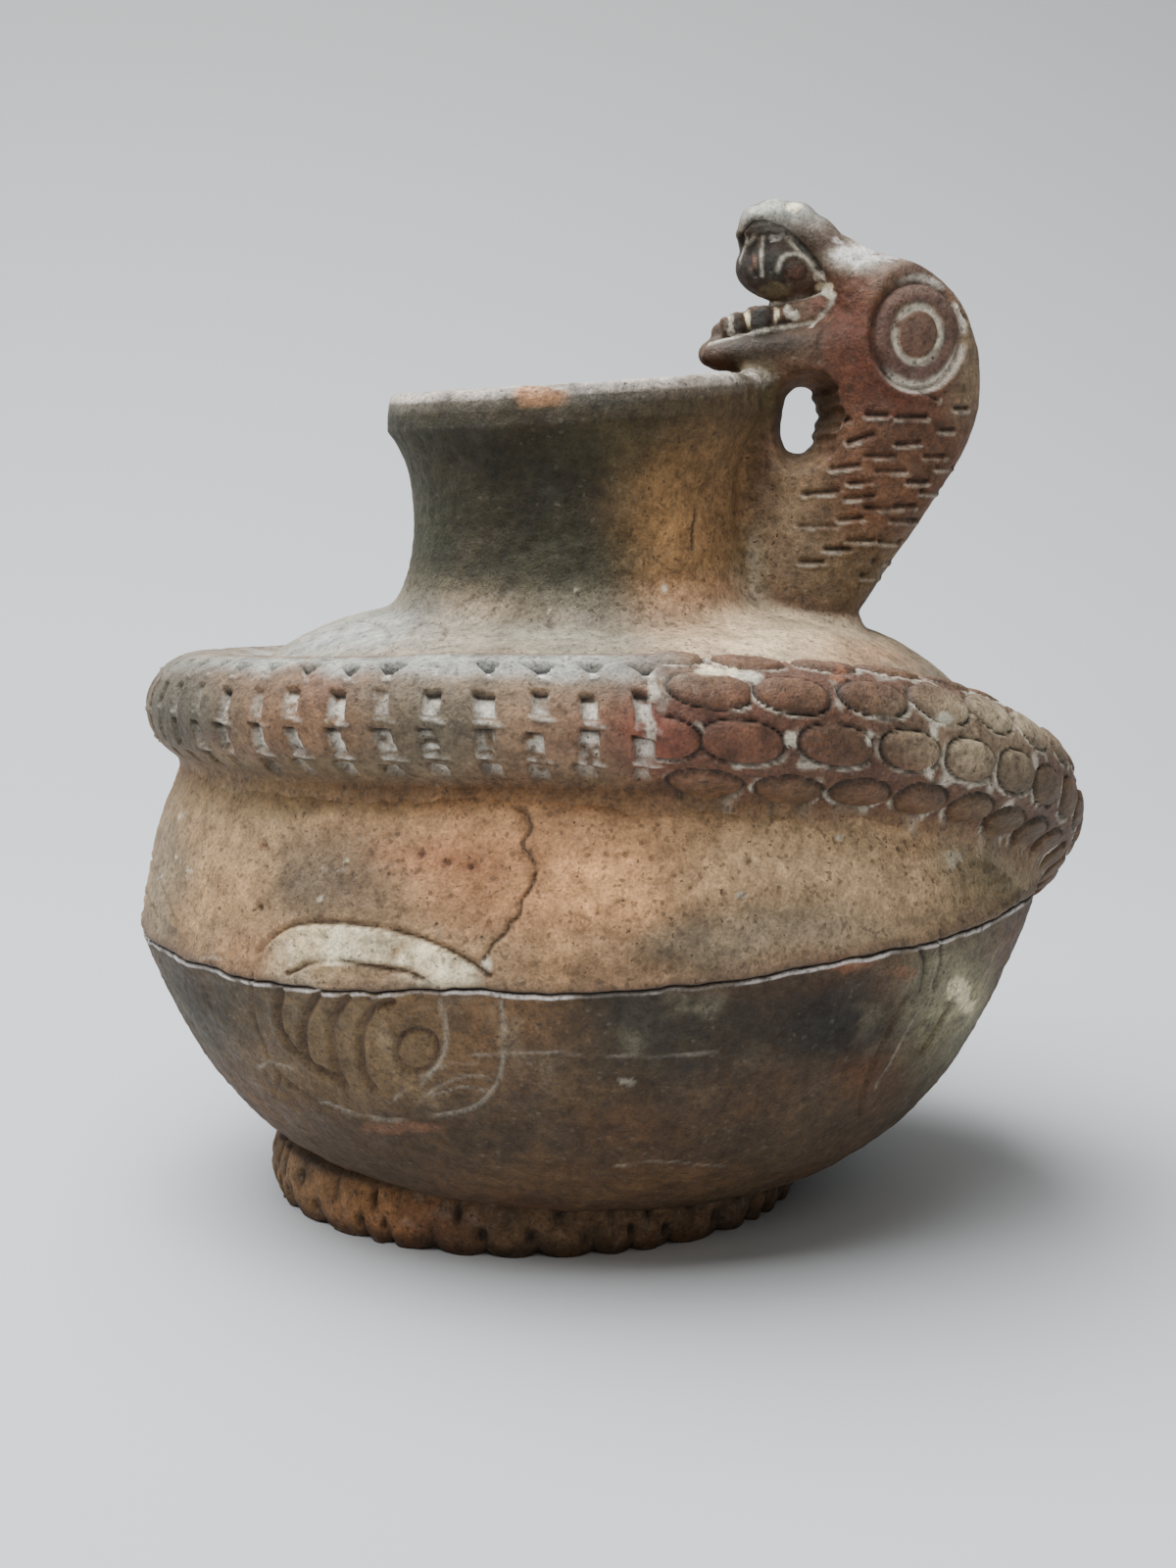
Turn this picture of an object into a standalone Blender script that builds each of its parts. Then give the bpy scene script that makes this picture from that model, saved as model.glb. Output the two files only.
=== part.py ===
"""Effigy vessel: a squat hollow jar of fired clay with a serpent modelled onto it.

The serpent's body is a coil of clay pressed round the shoulder. It is punched with rows of
square jabs, and towards the tail it is carved with oval scales. Its neck rises beside the neck of
the jar as a handle, and its open jaws rest on the rim. The whole pot is one piece of clay, so it
is one solid. Z is up, the serpent's neck stands on the +X side and the head looks towards -X.
Azimuths are measured from +X towards +Y.
"""

import math

import bmesh
import bpy
from mathutils import Vector

MM = 0.001

# Jar: a bowl and a domed upper half that meet in a seam at the widest line
BELLY_RADIUS = 100.1 * MM
SEAM_HEIGHT = 66.8 * MM
SEAM_RISE = 5.3 * MM
SEAM_STEP = 1.0 * MM
BOWL_UNDERSIDE = 3.5 * MM
WALL = 7.0 * MM

# Powers that shape the wall: how soon each half turns in, and how square the whole is
BOWL_TURN = 1.15
DOME_TURN = 1.6
SQUARENESS = 4.0

# Neck of the jar, which stands slightly off the axis and has a sloping rim
NECK_OFFSET = -2.7 * MM
NECK_ROOT_RADIUS = 41.0 * MM
NECK_ROOT_HEIGHT = 129.5 * MM
NECK_LENGTH = 50.5 * MM
WAIST_RADIUS = 36.0 * MM
WAIST_RISE = 21.5 * MM
RIM_RADIUS = 41.9 * MM
RIM_RISE = 2.4 * MM
LIP_DROP = 8.5 * MM
NECK_WALL = 6.2 * MM
RIM_FLARE = 2.6
ROOT_FLARE = 2.2
WAIST_HEIGHT = NECK_ROOT_HEIGHT + WAIST_RISE
RIM_HEIGHT = NECK_ROOT_HEIGHT + NECK_LENGTH

# The dome would close a little above the line where it meets the neck
DOME_CROWN = 1.5 * MM
DOME_TOP = NECK_ROOT_HEIGHT + DOME_CROWN

# Foot: a notched ring set off centre under the bowl
FOOT_RADIUS = 60.6 * MM
FOOT_WIDTH = 11.0 * MM
FOOT_HEIGHT = 13.0 * MM
FOOT_OFFSET = -12.1 * MM
FOOT_LOBES = 36
FOOT_LOBE_DEPTH = 1.1 * MM
FOOT_SINK = 1.5 * MM

# Serpent's body: a coil round the shoulder. Its stations are an azimuth in degrees, how far up
# from the seam to the top of the dome the centre line is, how far it stands off the wall in coil
# radii, and how thick the coil is there
COIL_RADIUS = 12.6 * MM
COIL_ROUTE = [
    (24.0, 0.705, -0.67, 0.63),
    (55.0, 0.665, 0.0, 0.9),
    (90.0, 0.611, 0.32, 0.96),
    (135.0, 0.606, 0.33, 0.97),
    (180.0, 0.681, 0.32, 0.96),
    (225.0, 0.741, 0.51, 0.98),
    (270.0, 0.766, 0.62, 1.0),
    (305.0, 0.681, 0.57, 1.1),
    (322.0, 0.575, 0.4, 1.1),
    (337.0, 0.427, 0.16, 1.07),
    (350.0, 0.271, -0.06, 1.03),
    (361.0, 0.117, -0.19, 0.98),
    (371.0, -0.025, -0.19, 0.92),
    (382.0, -0.147, -0.17, 0.81),
    (394.0, -0.229, -0.16, 0.63),
    (404.0, -0.267, -0.16, 0.41),
]

# Azimuths at which the jabs, their lowest row and the scales begin
JAB_START = 52.0
LOW_JAB_START = 165.0
SCALE_START = 279.0

# Jabs and scales
JAB_PITCH = 9.2 * MM
JAB_WIDTH = 2.8 * MM
JAB_HEIGHT = 5.4 * MM
JAB_DEPTH = 1.6 * MM
SCALE_PITCH = 15.0 * MM
SCALE_GROOVE = 1.3 * MM
SCALE_LENGTH_SHARE = 0.78
SCALE_MIDDLE_SHARE = 0.84
SCALE_END_SHARE = 0.5

# How far the flat side of the coil is sunk into the wall
COIL_SINK = 3.0 * MM

# Turns round the coil in degrees, from straight out towards up, that bound the rows of carving
COIL_ROWS = [80.0, 39.0, 2.0, -35.0, -72.0]

# Serpent's neck and head, drawn in shares of the head and scaled to its real length, from the
# back of the head to the tip of the lower jaw. A level section of the neck has how far up it is
# from the dome to the rim, how far its back stands out from the waist of the jar, and half its
# thickness.
HEAD_LENGTH = 59.7 * MM
HEAD_SET = 2.8 * MM
LIMB_FULLNESS = 0.85
NECK_SECTIONS = [
    (-0.11, 22.8, 13.6),
    (-0.02, 23.9, 12.6),
    (0.18, 30.2, 12.0),
    (0.34, 35.6, 12.0),
    (0.51, 41.1, 12.4),
    (0.68, 45.8, 12.8),
    (0.86, 49.0, 13.4),
]

# The rest is placed by X and Z from the point over the rim where the jaw rests. A section of the
# head has its height, front, back and half its thickness.
HEAD_SECTIONS = [
    (1.0, -7.0, 43.6, 13.8),
    (6.0, -4.0, 42.9, 14.2),
    (10.0, 3.0, 41.6, 14.6),
    (14.5, 9.0, 40.1, 14.4),
    (18.0, 10.5, 37.9, 13.4),
    (21.4, 11.5, 34.6, 11.4),
    (24.0, 13.5, 31.0, 8.6),
    (25.8, 15.5, 27.1, 5.4),
    (26.7, 18.5, 23.0, 2.6),
]

# A station of a jaw has its X, its Z, half its depth and half its width
UPPER_JAW = [
    (20.0, 17.0, 8.5, 12.0),
    (12.1, 24.8, 5.6, 10.4),
    (7.1, 30.5, 4.3, 9.8),
    (2.9, 34.0, 3.9, 9.4),
    (-2.0, 35.8, 3.2, 8.8),
    (-6.4, 34.6, 2.6, 7.8),
    (-8.7, 31.6, 1.4, 6.2),
]
LOWER_JAW = [
    (22.0, 8.0, 7.5, 12.5),
    (11.0, 7.3, 5.8, 11.5),
    (1.6, 6.9, 4.6, 10.6),
    (-7.4, 6.3, 3.9, 9.4),
    (-14.0, 5.8, 3.4, 7.6),
    (-16.1, 5.6, 2.0, 4.6),
]
DRAWN = HEAD_LENGTH / (HEAD_SECTIONS[0][2] - LOWER_JAW[-1][0])

# The ball of the palate: X, Z and its half length, height and width
PALATE = (-0.8, 24.4, 10.2, 7.3, 8.8)

# Lower teeth: X and Y of the one in front and of those to each side, then the radius of a tooth
# and the heights of its foot and its top
LOWER_TEETH = [(-12.3, 0.0), (-10.2, 4.4), (-4.8, 6.4)]
TOOTH = (2.0, 8.0, 15.8)

# Eye: a round flat sunk into the cheek, with a ring and a pupil standing on it. It has the radii
# of the pupil, of the groove round it, of the ring and of the flat, then how far out along Y the
# ring reaches, how deep the groove is and how deep the flat is.
EYE = (28.2, 9.8)
EYE_RADII = (3.9, 5.6, 8.6, 10.2)
EYE_DEPTHS = (13.9, 1.4, 1.7)
EYE_STRETCH = 1.16

# Hole between the serpent's throat and the neck of the jar, narrowest half way through
HOLE_PLACE = (4.0, -8.6)
HOLE_HALF_WIDTH = 4.4 * MM
HOLE_HALF_HEIGHT = 8.0 * MM
HOLE_FLARE = 2.6 * MM
HOLE_LEAN = 0.06
HOLE_CUT_LENGTH = 60.0 * MM

# How finely round shapes are faceted
LATHE_SIDES = 44
CAVITY_SIDES = 22
NECK_SIDES = 14
JAW_SIDES = 12
PALATE_SIDES = 10
EYE_SIDES = 12
TOOTH_SIDES = 5
HOLE_SIDES = 14

CLAY_COLOUR = (0.26, 0.145, 0.09, 1.0)
CLAY_ROUGHNESS = 0.82


def clear_scene():
    """Removes the objects that a new file starts with."""
    for thing in list(bpy.data.objects):
        bpy.data.objects.remove(thing)


def clay():
    """Fired red-brown earthenware."""
    material = bpy.data.materials.new("fired_clay")
    material.use_nodes = True
    shader = material.node_tree.nodes["Principled BSDF"]
    shader.inputs["Base Color"].default_value = CLAY_COLOUR
    shader.inputs["Roughness"].default_value = CLAY_ROUGHNESS
    shader.inputs["Metallic"].default_value = 0.0
    return material


def solid_from_rings(name, rings, closed=False):
    """One closed solid through rings of points. Open ends get a flat cap."""
    mesh = bmesh.new()
    rows = [[mesh.verts.new(point) for point in ring] for ring in rings]
    following = rows[1:] + (rows[:1] if closed else [])
    for row, after in zip(rows, following):
        for i in range(len(row)):
            j = (i + 1) % len(row)
            mesh.faces.new((row[i], row[j], after[j], after[i]))
    if not closed:
        mesh.faces.new(rows[0][::-1])
        mesh.faces.new(rows[-1])
    return finish_solid(name, mesh)


def finish_solid(name, mesh):
    """Turns the faces outwards and links the solid into the scene."""
    bmesh.ops.recalc_face_normals(mesh, faces=mesh.faces)
    data = bpy.data.meshes.new(name)
    mesh.to_mesh(data)
    mesh.free()
    thing = bpy.data.objects.new(name, data)
    bpy.context.scene.collection.objects.link(thing)
    return thing


def as_guide(thing):
    """Marks a solid that only shapes the vessel."""
    thing.hide_render = True
    thing.display_type = "WIRE"
    return thing


def combine(target, guide, operation, solver="EXACT"):
    """Joins a guide solid to the target, or cuts it away. The exact solver leaves pinched edges
    where the modelled clay only grazes the wall, so those joins use the manifold one."""
    step = target.modifiers.new(guide.name, "BOOLEAN")
    step.operation = operation
    step.solver = solver
    step.object = as_guide(guide)


def smooth_through(stations, at):
    """Reads every column of a table of stations at one place, along a smooth curve."""
    last = len(stations) - 2
    i = max(k for k in range(last + 1) if stations[k][0] <= at or k == 0)
    before = stations[max(i - 1, 0)]
    start = stations[i]
    end = stations[i + 1]
    after = stations[min(i + 2, last + 1)]
    span = end[0] - start[0]
    t = min(max((at - start[0]) / span, 0.0), 1.0)
    values = []
    for k in range(1, len(start)):
        slope_in = (end[k] - before[k]) / (end[0] - before[0]) * span
        slope_out = (after[k] - start[k]) / (after[0] - start[0]) * span
        values.append(
            (2 * t**3 - 3 * t**2 + 1) * start[k]
            + (t**3 - 2 * t**2 + t) * slope_in
            + (3 * t**2 - 2 * t**3) * end[k]
            + (t**3 - t**2) * slope_out
        )
    return values


def seam_height(azimuth):
    """Height of the seam, which climbs towards +X."""
    return SEAM_HEIGHT + SEAM_RISE * math.cos(azimuth)


def rounded(widest, share, turn):
    """Radius of a wall, from the widest line at a share of 0 to its end at 1."""
    return widest * (1 - min(share, 1.0) ** turn) ** (1 / SQUARENESS)


def wall_radius(height, azimuth):
    """Outer radius of the bowl or the dome at one height."""
    seam = seam_height(azimuth)
    if height < seam:
        return rounded(BELLY_RADIUS, (seam - height) / (seam - BOWL_UNDERSIDE), BOWL_TURN)
    return rounded(BELLY_RADIUS, (height - seam) / (DOME_TOP - seam), DOME_TURN)


def neck_radius(height):
    """Outer radius of the jar's neck: a waist that flares to the shoulder and to the lip."""
    lip = RIM_HEIGHT - LIP_DROP
    if height > WAIST_HEIGHT:
        share = min((height - WAIST_HEIGHT) / (lip - WAIST_HEIGHT), 1.0)
        return WAIST_RADIUS + (RIM_RADIUS - WAIST_RADIUS) * share**RIM_FLARE
    share = min((WAIST_HEIGHT - height) / WAIST_RISE, 1.0)
    return WAIST_RADIUS + (NECK_ROOT_RADIUS - WAIST_RADIUS) * share**ROOT_FLARE


def outer_profile(azimuth):
    """Radius, height and sideways shift of the outside, from the middle of the base to the lip."""
    seam = seam_height(azimuth)
    points = []
    for share in (1.0, 0.975, 0.9, 0.78, 0.62, 0.44, 0.26, 0.11):
        height = seam - share * (seam - BOWL_UNDERSIDE)
        radius = max(wall_radius(height, azimuth), 2 * WALL)
        points.append((radius, height, 0.0))
    points.append((BELLY_RADIUS, seam - 0.5 * SEAM_STEP, 0.0))
    points.append((BELLY_RADIUS - 1.2 * SEAM_STEP, seam + 0.4 * SEAM_STEP, 0.0))
    for share in (0.1, 0.26, 0.44, 0.61, 0.76, 0.87, 0.94):
        height = seam + share * (DOME_TOP - seam)
        points.append((wall_radius(height, azimuth) - 0.3 * SEAM_STEP, height, 0.0))
    tilt = RIM_RISE * math.cos(azimuth)
    for share in (0.0, 0.18, 0.5, 0.78, 1.0):
        height = NECK_ROOT_HEIGHT + share * (NECK_LENGTH - LIP_DROP)
        points.append((neck_radius(height), height + tilt * share, NECK_OFFSET))
    lip_middle = RIM_RADIUS - 0.5 * NECK_WALL
    for inset, drop in ((0.0, 0.45), (0.2, 0.1), (0.5, 0.0)):
        radius = lip_middle + (0.5 - inset) * NECK_WALL
        points.append((radius, RIM_HEIGHT + tilt - drop * LIP_DROP, NECK_OFFSET))
    return points


def inner_profile(azimuth):
    """The same for the cavity, from the middle of its floor to above the rim."""
    seam = seam_height(azimuth)
    tilt = RIM_RISE * math.cos(azimuth)
    points = []
    floor = BOWL_UNDERSIDE + WALL
    ceiling = DOME_TOP - WALL
    for share in (0.0, 0.03, 0.14, 0.36, 0.7):
        height = floor + share * (seam - floor)
        radius = rounded(BELLY_RADIUS - WALL, 1 - share, BOWL_TURN)
        points.append((max(radius, WALL), height, 0.0))
    for share in (0.15, 0.5, 0.78, 0.95):
        height = seam + share * (ceiling - seam)
        radius = rounded(BELLY_RADIUS - WALL, share, DOME_TURN)
        points.append((radius, height, 0.0))
    bend = WALL * math.sqrt(0.5)
    points.append((NECK_ROOT_RADIUS - bend, NECK_ROOT_HEIGHT - bend, NECK_OFFSET))
    for share in (0.0, 0.5, 0.85):
        height = NECK_ROOT_HEIGHT + share * NECK_LENGTH
        radius = neck_radius(height) - NECK_WALL
        points.append((radius, height + tilt * share, NECK_OFFSET))
    points.append((RIM_RADIUS - NECK_WALL, RIM_HEIGHT + tilt + LIP_DROP, NECK_OFFSET))
    return points


def turned(name, profile, sides):
    """A closed solid whose profile changes a little with the azimuth."""
    columns = [profile(2 * math.pi * i / sides) for i in range(sides)]
    rings = []
    for level in range(len(columns[0])):
        ring = []
        for i, column in enumerate(columns):
            radius, height, shift = column[level]
            azimuth = 2 * math.pi * i / sides
            x = shift + radius * math.cos(azimuth)
            ring.append(Vector((x, radius * math.sin(azimuth), height)))
        rings.append(ring)
    return solid_from_rings(name, rings)


def bowl_height(reach, azimuth):
    """Height of the bowl's outside at a distance from the axis."""
    seam = seam_height(azimuth)
    share = (1 - min(reach / BELLY_RADIUS, 1.0) ** SQUARENESS) ** (1 / BOWL_TURN)
    return seam - share * (seam - BOWL_UNDERSIDE)


def foot_ring():
    """The foot: a ring with two staggered rows of pinched lobes and a flat underside. The inner
    edge of its top is sunk into the bowl all the way round."""
    sides = 2 * FOOT_LOBES
    inner = FOOT_RADIUS - FOOT_WIDTH
    rings = []
    for i in range(sides):
        azimuth = 2 * math.pi * (i + 0.3) / sides
        lobe = FOOT_LOBE_DEPTH * (1 if i % 2 else -1)
        edge = Vector((FOOT_OFFSET + inner * math.cos(azimuth), inner * math.sin(azimuth)))
        bowl = bowl_height(edge.length, math.atan2(edge.y, edge.x))
        section = [
            (inner, 0.0),
            (FOOT_RADIUS - 0.25 * FOOT_WIDTH + 0.6 * lobe, 0.0),
            (FOOT_RADIUS - 0.05 * FOOT_WIDTH + lobe, 0.28 * FOOT_HEIGHT),
            (FOOT_RADIUS - 0.05 * FOOT_WIDTH - lobe, 0.66 * FOOT_HEIGHT),
            (FOOT_RADIUS - 0.3 * FOOT_WIDTH, FOOT_HEIGHT),
            (inner, max(FOOT_HEIGHT, bowl + FOOT_SINK)),
        ]
        ring = []
        for radius, height in section:
            x = FOOT_OFFSET + radius * math.cos(azimuth)
            ring.append(Vector((x, radius * math.sin(azimuth), height)))
        rings.append(ring)
    return solid_from_rings("foot_ring", rings, closed=True)


def coil_centre(degrees):
    """Centre of the serpent's body at an azimuth, and its radius there."""
    climb, stand_off, fullness = smooth_through(COIL_ROUTE, degrees)
    azimuth = math.radians(degrees)
    seam = seam_height(azimuth)
    height = seam + climb * (DOME_TOP - seam)
    reach = wall_radius(height, azimuth) + stand_off * COIL_RADIUS
    middle = Vector((reach * math.cos(azimuth), reach * math.sin(azimuth), height))
    return middle, fullness * COIL_RADIUS


def coil_frame(degrees):
    """Centre, radius, and the outward and upward directions across the coil."""
    centre, radius = coil_centre(degrees)
    ahead, _ = coil_centre(min(degrees + 1.0, COIL_ROUTE[-1][0]))
    behind, _ = coil_centre(max(degrees - 1.0, COIL_ROUTE[0][0]))
    along = (ahead - behind).normalized()
    up = (Vector((0, 0, 1)) - along * along.z).normalized()
    return centre, radius, along.cross(up).normalized(), up


def on_coil(degrees, turn, depth=0.0):
    """A point of the coil's surface, or a little below it."""
    centre, radius, outward, up = coil_frame(degrees)
    angle = math.radians(turn)
    return centre + (outward * math.cos(angle) + up * math.sin(angle)) * (radius - depth)


def coil_turns(degrees):
    """Turns of the corners of a section: the carved rows, then the flat pressed into the wall."""
    centre, radius = coil_centre(degrees)
    azimuth = math.radians(degrees)
    below = wall_radius(centre.z - 0.5 * radius, azimuth)
    above = wall_radius(centre.z + 0.5 * radius, azimuth)
    lean = math.atan((below - above) / radius)
    stand_off = math.hypot(centre.x, centre.y) - wall_radius(centre.z, azimuth)
    reach = (stand_off * math.cos(lean) + COIL_SINK) / radius
    half = math.degrees(math.acos(min(max(reach, 0.0), 0.98)))
    first = COIL_ROWS[0]
    last = COIL_ROWS[-1]
    flat_top = max(180.0 + math.degrees(lean) - half, 1.22 * first)
    flat_end = min(-180.0 + math.degrees(lean) + half, 1.6 * last)
    third = (flat_top - first) / 3
    side = [flat_end, flat_top, first + 2 * third, first + third]
    return COIL_ROWS + [0.5 * (last + flat_end)] + side


def coil_fullness(degrees):
    """How thick the coil is at an azimuth, as a share of where it is thickest."""
    thickest = max(station[-1] for station in COIL_ROUTE)
    return smooth_through(COIL_ROUTE, degrees)[-1] / thickest


def coil_stations():
    """Azimuths of the sections: plain ones, one for each jab, then two for each scale."""
    start = COIL_ROUTE[0][0]
    end = COIL_ROUTE[-1][0]
    reach = BELLY_RADIUS - WALL
    jabs = round(math.radians(SCALE_START - JAB_START) * reach / JAB_PITCH)
    plain = [start + share * (JAB_START - start) for share in (0.0, 0.35, 0.7)]
    jabbed = [JAB_START + i * (SCALE_START - JAB_START) / jabs for i in range(jabs)]
    scaled = [SCALE_START]
    while scaled[-1] < end:
        at = scaled[-1]
        travel = (coil_centre(at + 0.5)[0] - coil_centre(at - 0.5)[0]).length
        scaled.append(at + 0.5 * SCALE_PITCH * coil_fullness(at) ** 1.3 / travel)
    stretch = (end - SCALE_START) / (scaled[-1] - SCALE_START)
    scaled = [SCALE_START + (at - SCALE_START) * stretch for at in scaled]
    return plain, jabbed, scaled


def jab_rows(degrees):
    """How many rows of jabs there are; the lowest begins part of the way round."""
    rows = len(COIL_ROWS) - 1
    return rows if degrees > LOW_JAB_START else rows - 1


def jab(mesh, corners, place):
    """A jab in one cell of the coil: its floor slopes down to a square end below."""
    start, end, top, bottom = place
    middle = 0.5 * (start + end)
    centre, radius = coil_centre(middle)
    half_width = math.degrees(0.5 * JAB_WIDTH / math.hypot(centre.x, centre.y))
    half_height = math.degrees(0.5 * JAB_HEIGHT / radius)
    turn = 0.5 * (top + bottom)
    spots = [
        (middle - half_width, turn + half_height),
        (middle - half_width, turn - half_height),
        (middle + half_width, turn - half_height),
        (middle + half_width, turn + half_height),
    ]
    brim = [mesh.verts.new(on_coil(*spot)) for spot in spots]
    left, right = [mesh.verts.new(on_coil(*spot, JAB_DEPTH)) for spot in spots[1:3]]
    for i in range(4):
        j = (i + 1) % 4
        mesh.faces.new((corners[i], corners[j], brim[j], brim[i]))
    mesh.faces.new((brim[0], brim[1], left))
    mesh.faces.new((brim[1], brim[2], right, left))
    mesh.faces.new((brim[2], brim[3], right))
    mesh.faces.new((brim[3], brim[0], left, right))


def scale(mesh, corners, spots):
    """A raised scale, with its corners in the groove that runs round it."""
    middle = sum(spot[0] for spot in spots) / len(spots)
    turn = sum(spot[1] for spot in spots) / len(spots)
    raised = []
    for i, (along, around) in enumerate(spots):
        height_share = SCALE_MIDDLE_SHARE if i in (2, 5) else SCALE_END_SHARE
        spot = (
            middle + SCALE_LENGTH_SHARE * (along - middle),
            turn + height_share * (around - turn),
        )
        raised.append(mesh.verts.new(on_coil(*spot)))
    for i in range(len(corners)):
        j = (i + 1) % len(corners)
        mesh.faces.new((corners[i], corners[j], raised[j], raised[i]))
    mesh.faces.new(raised)


def serpent_coil():
    """The serpent's body, pressed onto the jar, with its jabs and its scales."""
    plain, jabbed, scaled = coil_stations()
    stations = plain + jabbed + scaled
    first_scale = len(plain) + len(jabbed)
    carved = len(COIL_ROWS)
    mesh = bmesh.new()
    turns = [coil_turns(degrees) for degrees in stations]
    rows = []
    for i, degrees in enumerate(stations):
        ring = []
        for k, turn in enumerate(turns[i]):
            grooved = i > first_scale and (k < carved or k == len(turns[i]) - 1)
            groove = SCALE_GROOVE * coil_fullness(degrees) if grooved else 0.0
            ring.append(mesh.verts.new(on_coil(degrees, turn, groove)))
        rows.append(ring)
    columns = len(rows[0])
    for i in range(len(stations) - 1):
        for k in range(columns):
            j = (k + 1) % columns
            corners = (rows[i][k], rows[i][j], rows[i + 1][j], rows[i + 1][k])
            if i >= first_scale and (k < carved - 1 or k == columns - 1):
                phase = (i - first_scale + (k + 1) % columns) % 2
                if phase == 0 and i + 2 < len(stations):
                    after = i + 2
                    ring = [(i, k), (i, j), (i + 1, j), (after, j), (after, k), (i + 1, k)]
                    spots = [(stations[a], turns[a][b]) for a, b in ring]
                    scale(mesh, [rows[a][b] for a, b in ring], spots)
                elif phase == 0 or i == first_scale:
                    mesh.faces.new(corners)
            elif len(plain) <= i < first_scale and k < jab_rows(stations[i]):
                jab(mesh, corners, (stations[i], stations[i + 1], turns[i][k], turns[i][j]))
            else:
                mesh.faces.new(corners)
    mesh.faces.new(rows[0][::-1])
    mesh.faces.new(rows[-1])
    return finish_solid("serpent_coil", mesh)


def drawn(x, z, y=0.0):
    """A point of the head, given as drawn, in the jar's own frame."""
    rest = NECK_OFFSET + RIM_RADIUS + HEAD_SET
    return Vector((rest + x * DRAWN, y * DRAWN, RIM_HEIGHT + z * DRAWN))


def oval(middle, across, half_depth, half_width, sides):
    """A ring of points across a limb, fuller than an ellipse."""
    ring = []
    for i in range(sides):
        turn = 2 * math.pi * (i + 0.5) / sides
        c = math.copysign(abs(math.cos(turn)) ** LIMB_FULLNESS, math.cos(turn))
        s = math.copysign(abs(math.sin(turn)) ** LIMB_FULLNESS, math.sin(turn))
        ring.append(middle + across * (half_depth * c) + Vector((0, half_width * s, 0)))
    return ring


def serpent_neck():
    """The handle: the serpent's neck and the back of its head, in level sections."""
    forward = Vector((1, 0, 0))
    rings = []
    for share, back, half_width in NECK_SECTIONS:
        height = DOME_TOP + share * (RIM_HEIGHT - DOME_TOP)
        front = NECK_OFFSET + neck_radius(height) - 0.5 * NECK_WALL
        back = NECK_OFFSET + WAIST_RADIUS + HEAD_SET + back * DRAWN
        middle = Vector((0.5 * (front + back), 0, height))
        rings.append(oval(middle, forward, 0.5 * (back - front), half_width * DRAWN, NECK_SIDES))
    for rise, front, back, half_width in HEAD_SECTIONS:
        middle = drawn(0.5 * (front + back), rise)
        half = 0.5 * (back - front) * DRAWN
        rings.append(oval(middle, forward, half, half_width * DRAWN, NECK_SIDES))
    return solid_from_rings("serpent_neck", rings)


def limb(name, stations):
    """A jaw: ovals along a bent line, each across the line."""
    middles = [drawn(x, z) for x, z, _, _ in stations]
    rings = []
    for i, (_, _, half_depth, half_width) in enumerate(stations):
        along = middles[min(i + 1, len(middles) - 1)] - middles[max(i - 1, 0)]
        across = Vector((-along.z, 0, along.x)).normalized()
        rings.append(oval(middles[i], across, half_depth * DRAWN, half_width * DRAWN, JAW_SIDES))
    return solid_from_rings(name, rings)


def palate():
    """The rounded lump under the upper jaw."""
    x, z, half_length, half_height, half_width = PALATE
    steps = 5
    rings = []
    for i in range(1, steps):
        turn = math.pi * i / steps
        middle = drawn(x - half_length * math.cos(turn), z)
        size = math.sin(turn) * DRAWN
        upward = Vector((0, 0, 1))
        rings.append(oval(middle, upward, half_height * size, half_width * size, PALATE_SIDES))
    return solid_from_rings("palate", rings)


def eye_ring(radius, reach):
    """An upright oval of points round the eye, at a reach along Y."""
    x, z = EYE
    ring = []
    for i in range(EYE_SIDES):
        turn = 2 * math.pi * i / EYE_SIDES
        rise = EYE_STRETCH * radius * math.sin(turn)
        ring.append(drawn(x + radius * math.cos(turn), z + rise, reach))
    return ring


def eye_sockets():
    """Cutters for the flat on each cheek that the eye stands on."""
    reach, _, flat_depth = EYE_DEPTHS
    cutters = []
    for side in (-1, 1):
        ends = (side * (reach - flat_depth), 2 * side * reach)
        rings = [eye_ring(EYE_RADII[-1], end) for end in ends]
        cutters.append(solid_from_rings(f"eye_socket_{len(cutters)}", rings))
    return cutters


def eyes():
    """The ringed eyes, one solid across the head: a flat rim, a groove and a pupil."""
    pupil, groove, disc, _ = EYE_RADII
    reach, groove_depth, _ = EYE_DEPTHS
    floor = reach - groove_depth
    steps = [
        (pupil, reach),
        (pupil, floor),
        (groove, floor),
        (groove, reach),
        (disc, reach),
        (disc, floor - groove_depth),
    ]
    rings = [eye_ring(radius, -end) for radius, end in steps]
    rings += [eye_ring(radius, end) for radius, end in steps[::-1]]
    return solid_from_rings("eyes", rings)


def teeth():
    """Blunt teeth in a horseshoe along the lower jaw."""
    thickness, foot, top = TOOTH
    places = []
    for x, y in LOWER_TEETH:
        places += [(x, y)] if y == 0 else [(x, y), (x, -y)]
    made = []
    for i, (x, y) in enumerate(places):
        rings = []
        for share, size in ((0.0, 1.0), (0.8, 0.95), (1.0, 0.6)):
            middle = drawn(x, foot + share * (top - foot), y)
            ring = []
            for k in range(TOOTH_SIDES):
                turn = 2 * math.pi * k / TOOTH_SIDES
                reach = thickness * size * DRAWN
                ring.append(middle + Vector((math.cos(turn), math.sin(turn), 0)) * reach)
            rings.append(ring)
        made.append(solid_from_rings(f"tooth_{i}", rings))
    return made


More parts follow.
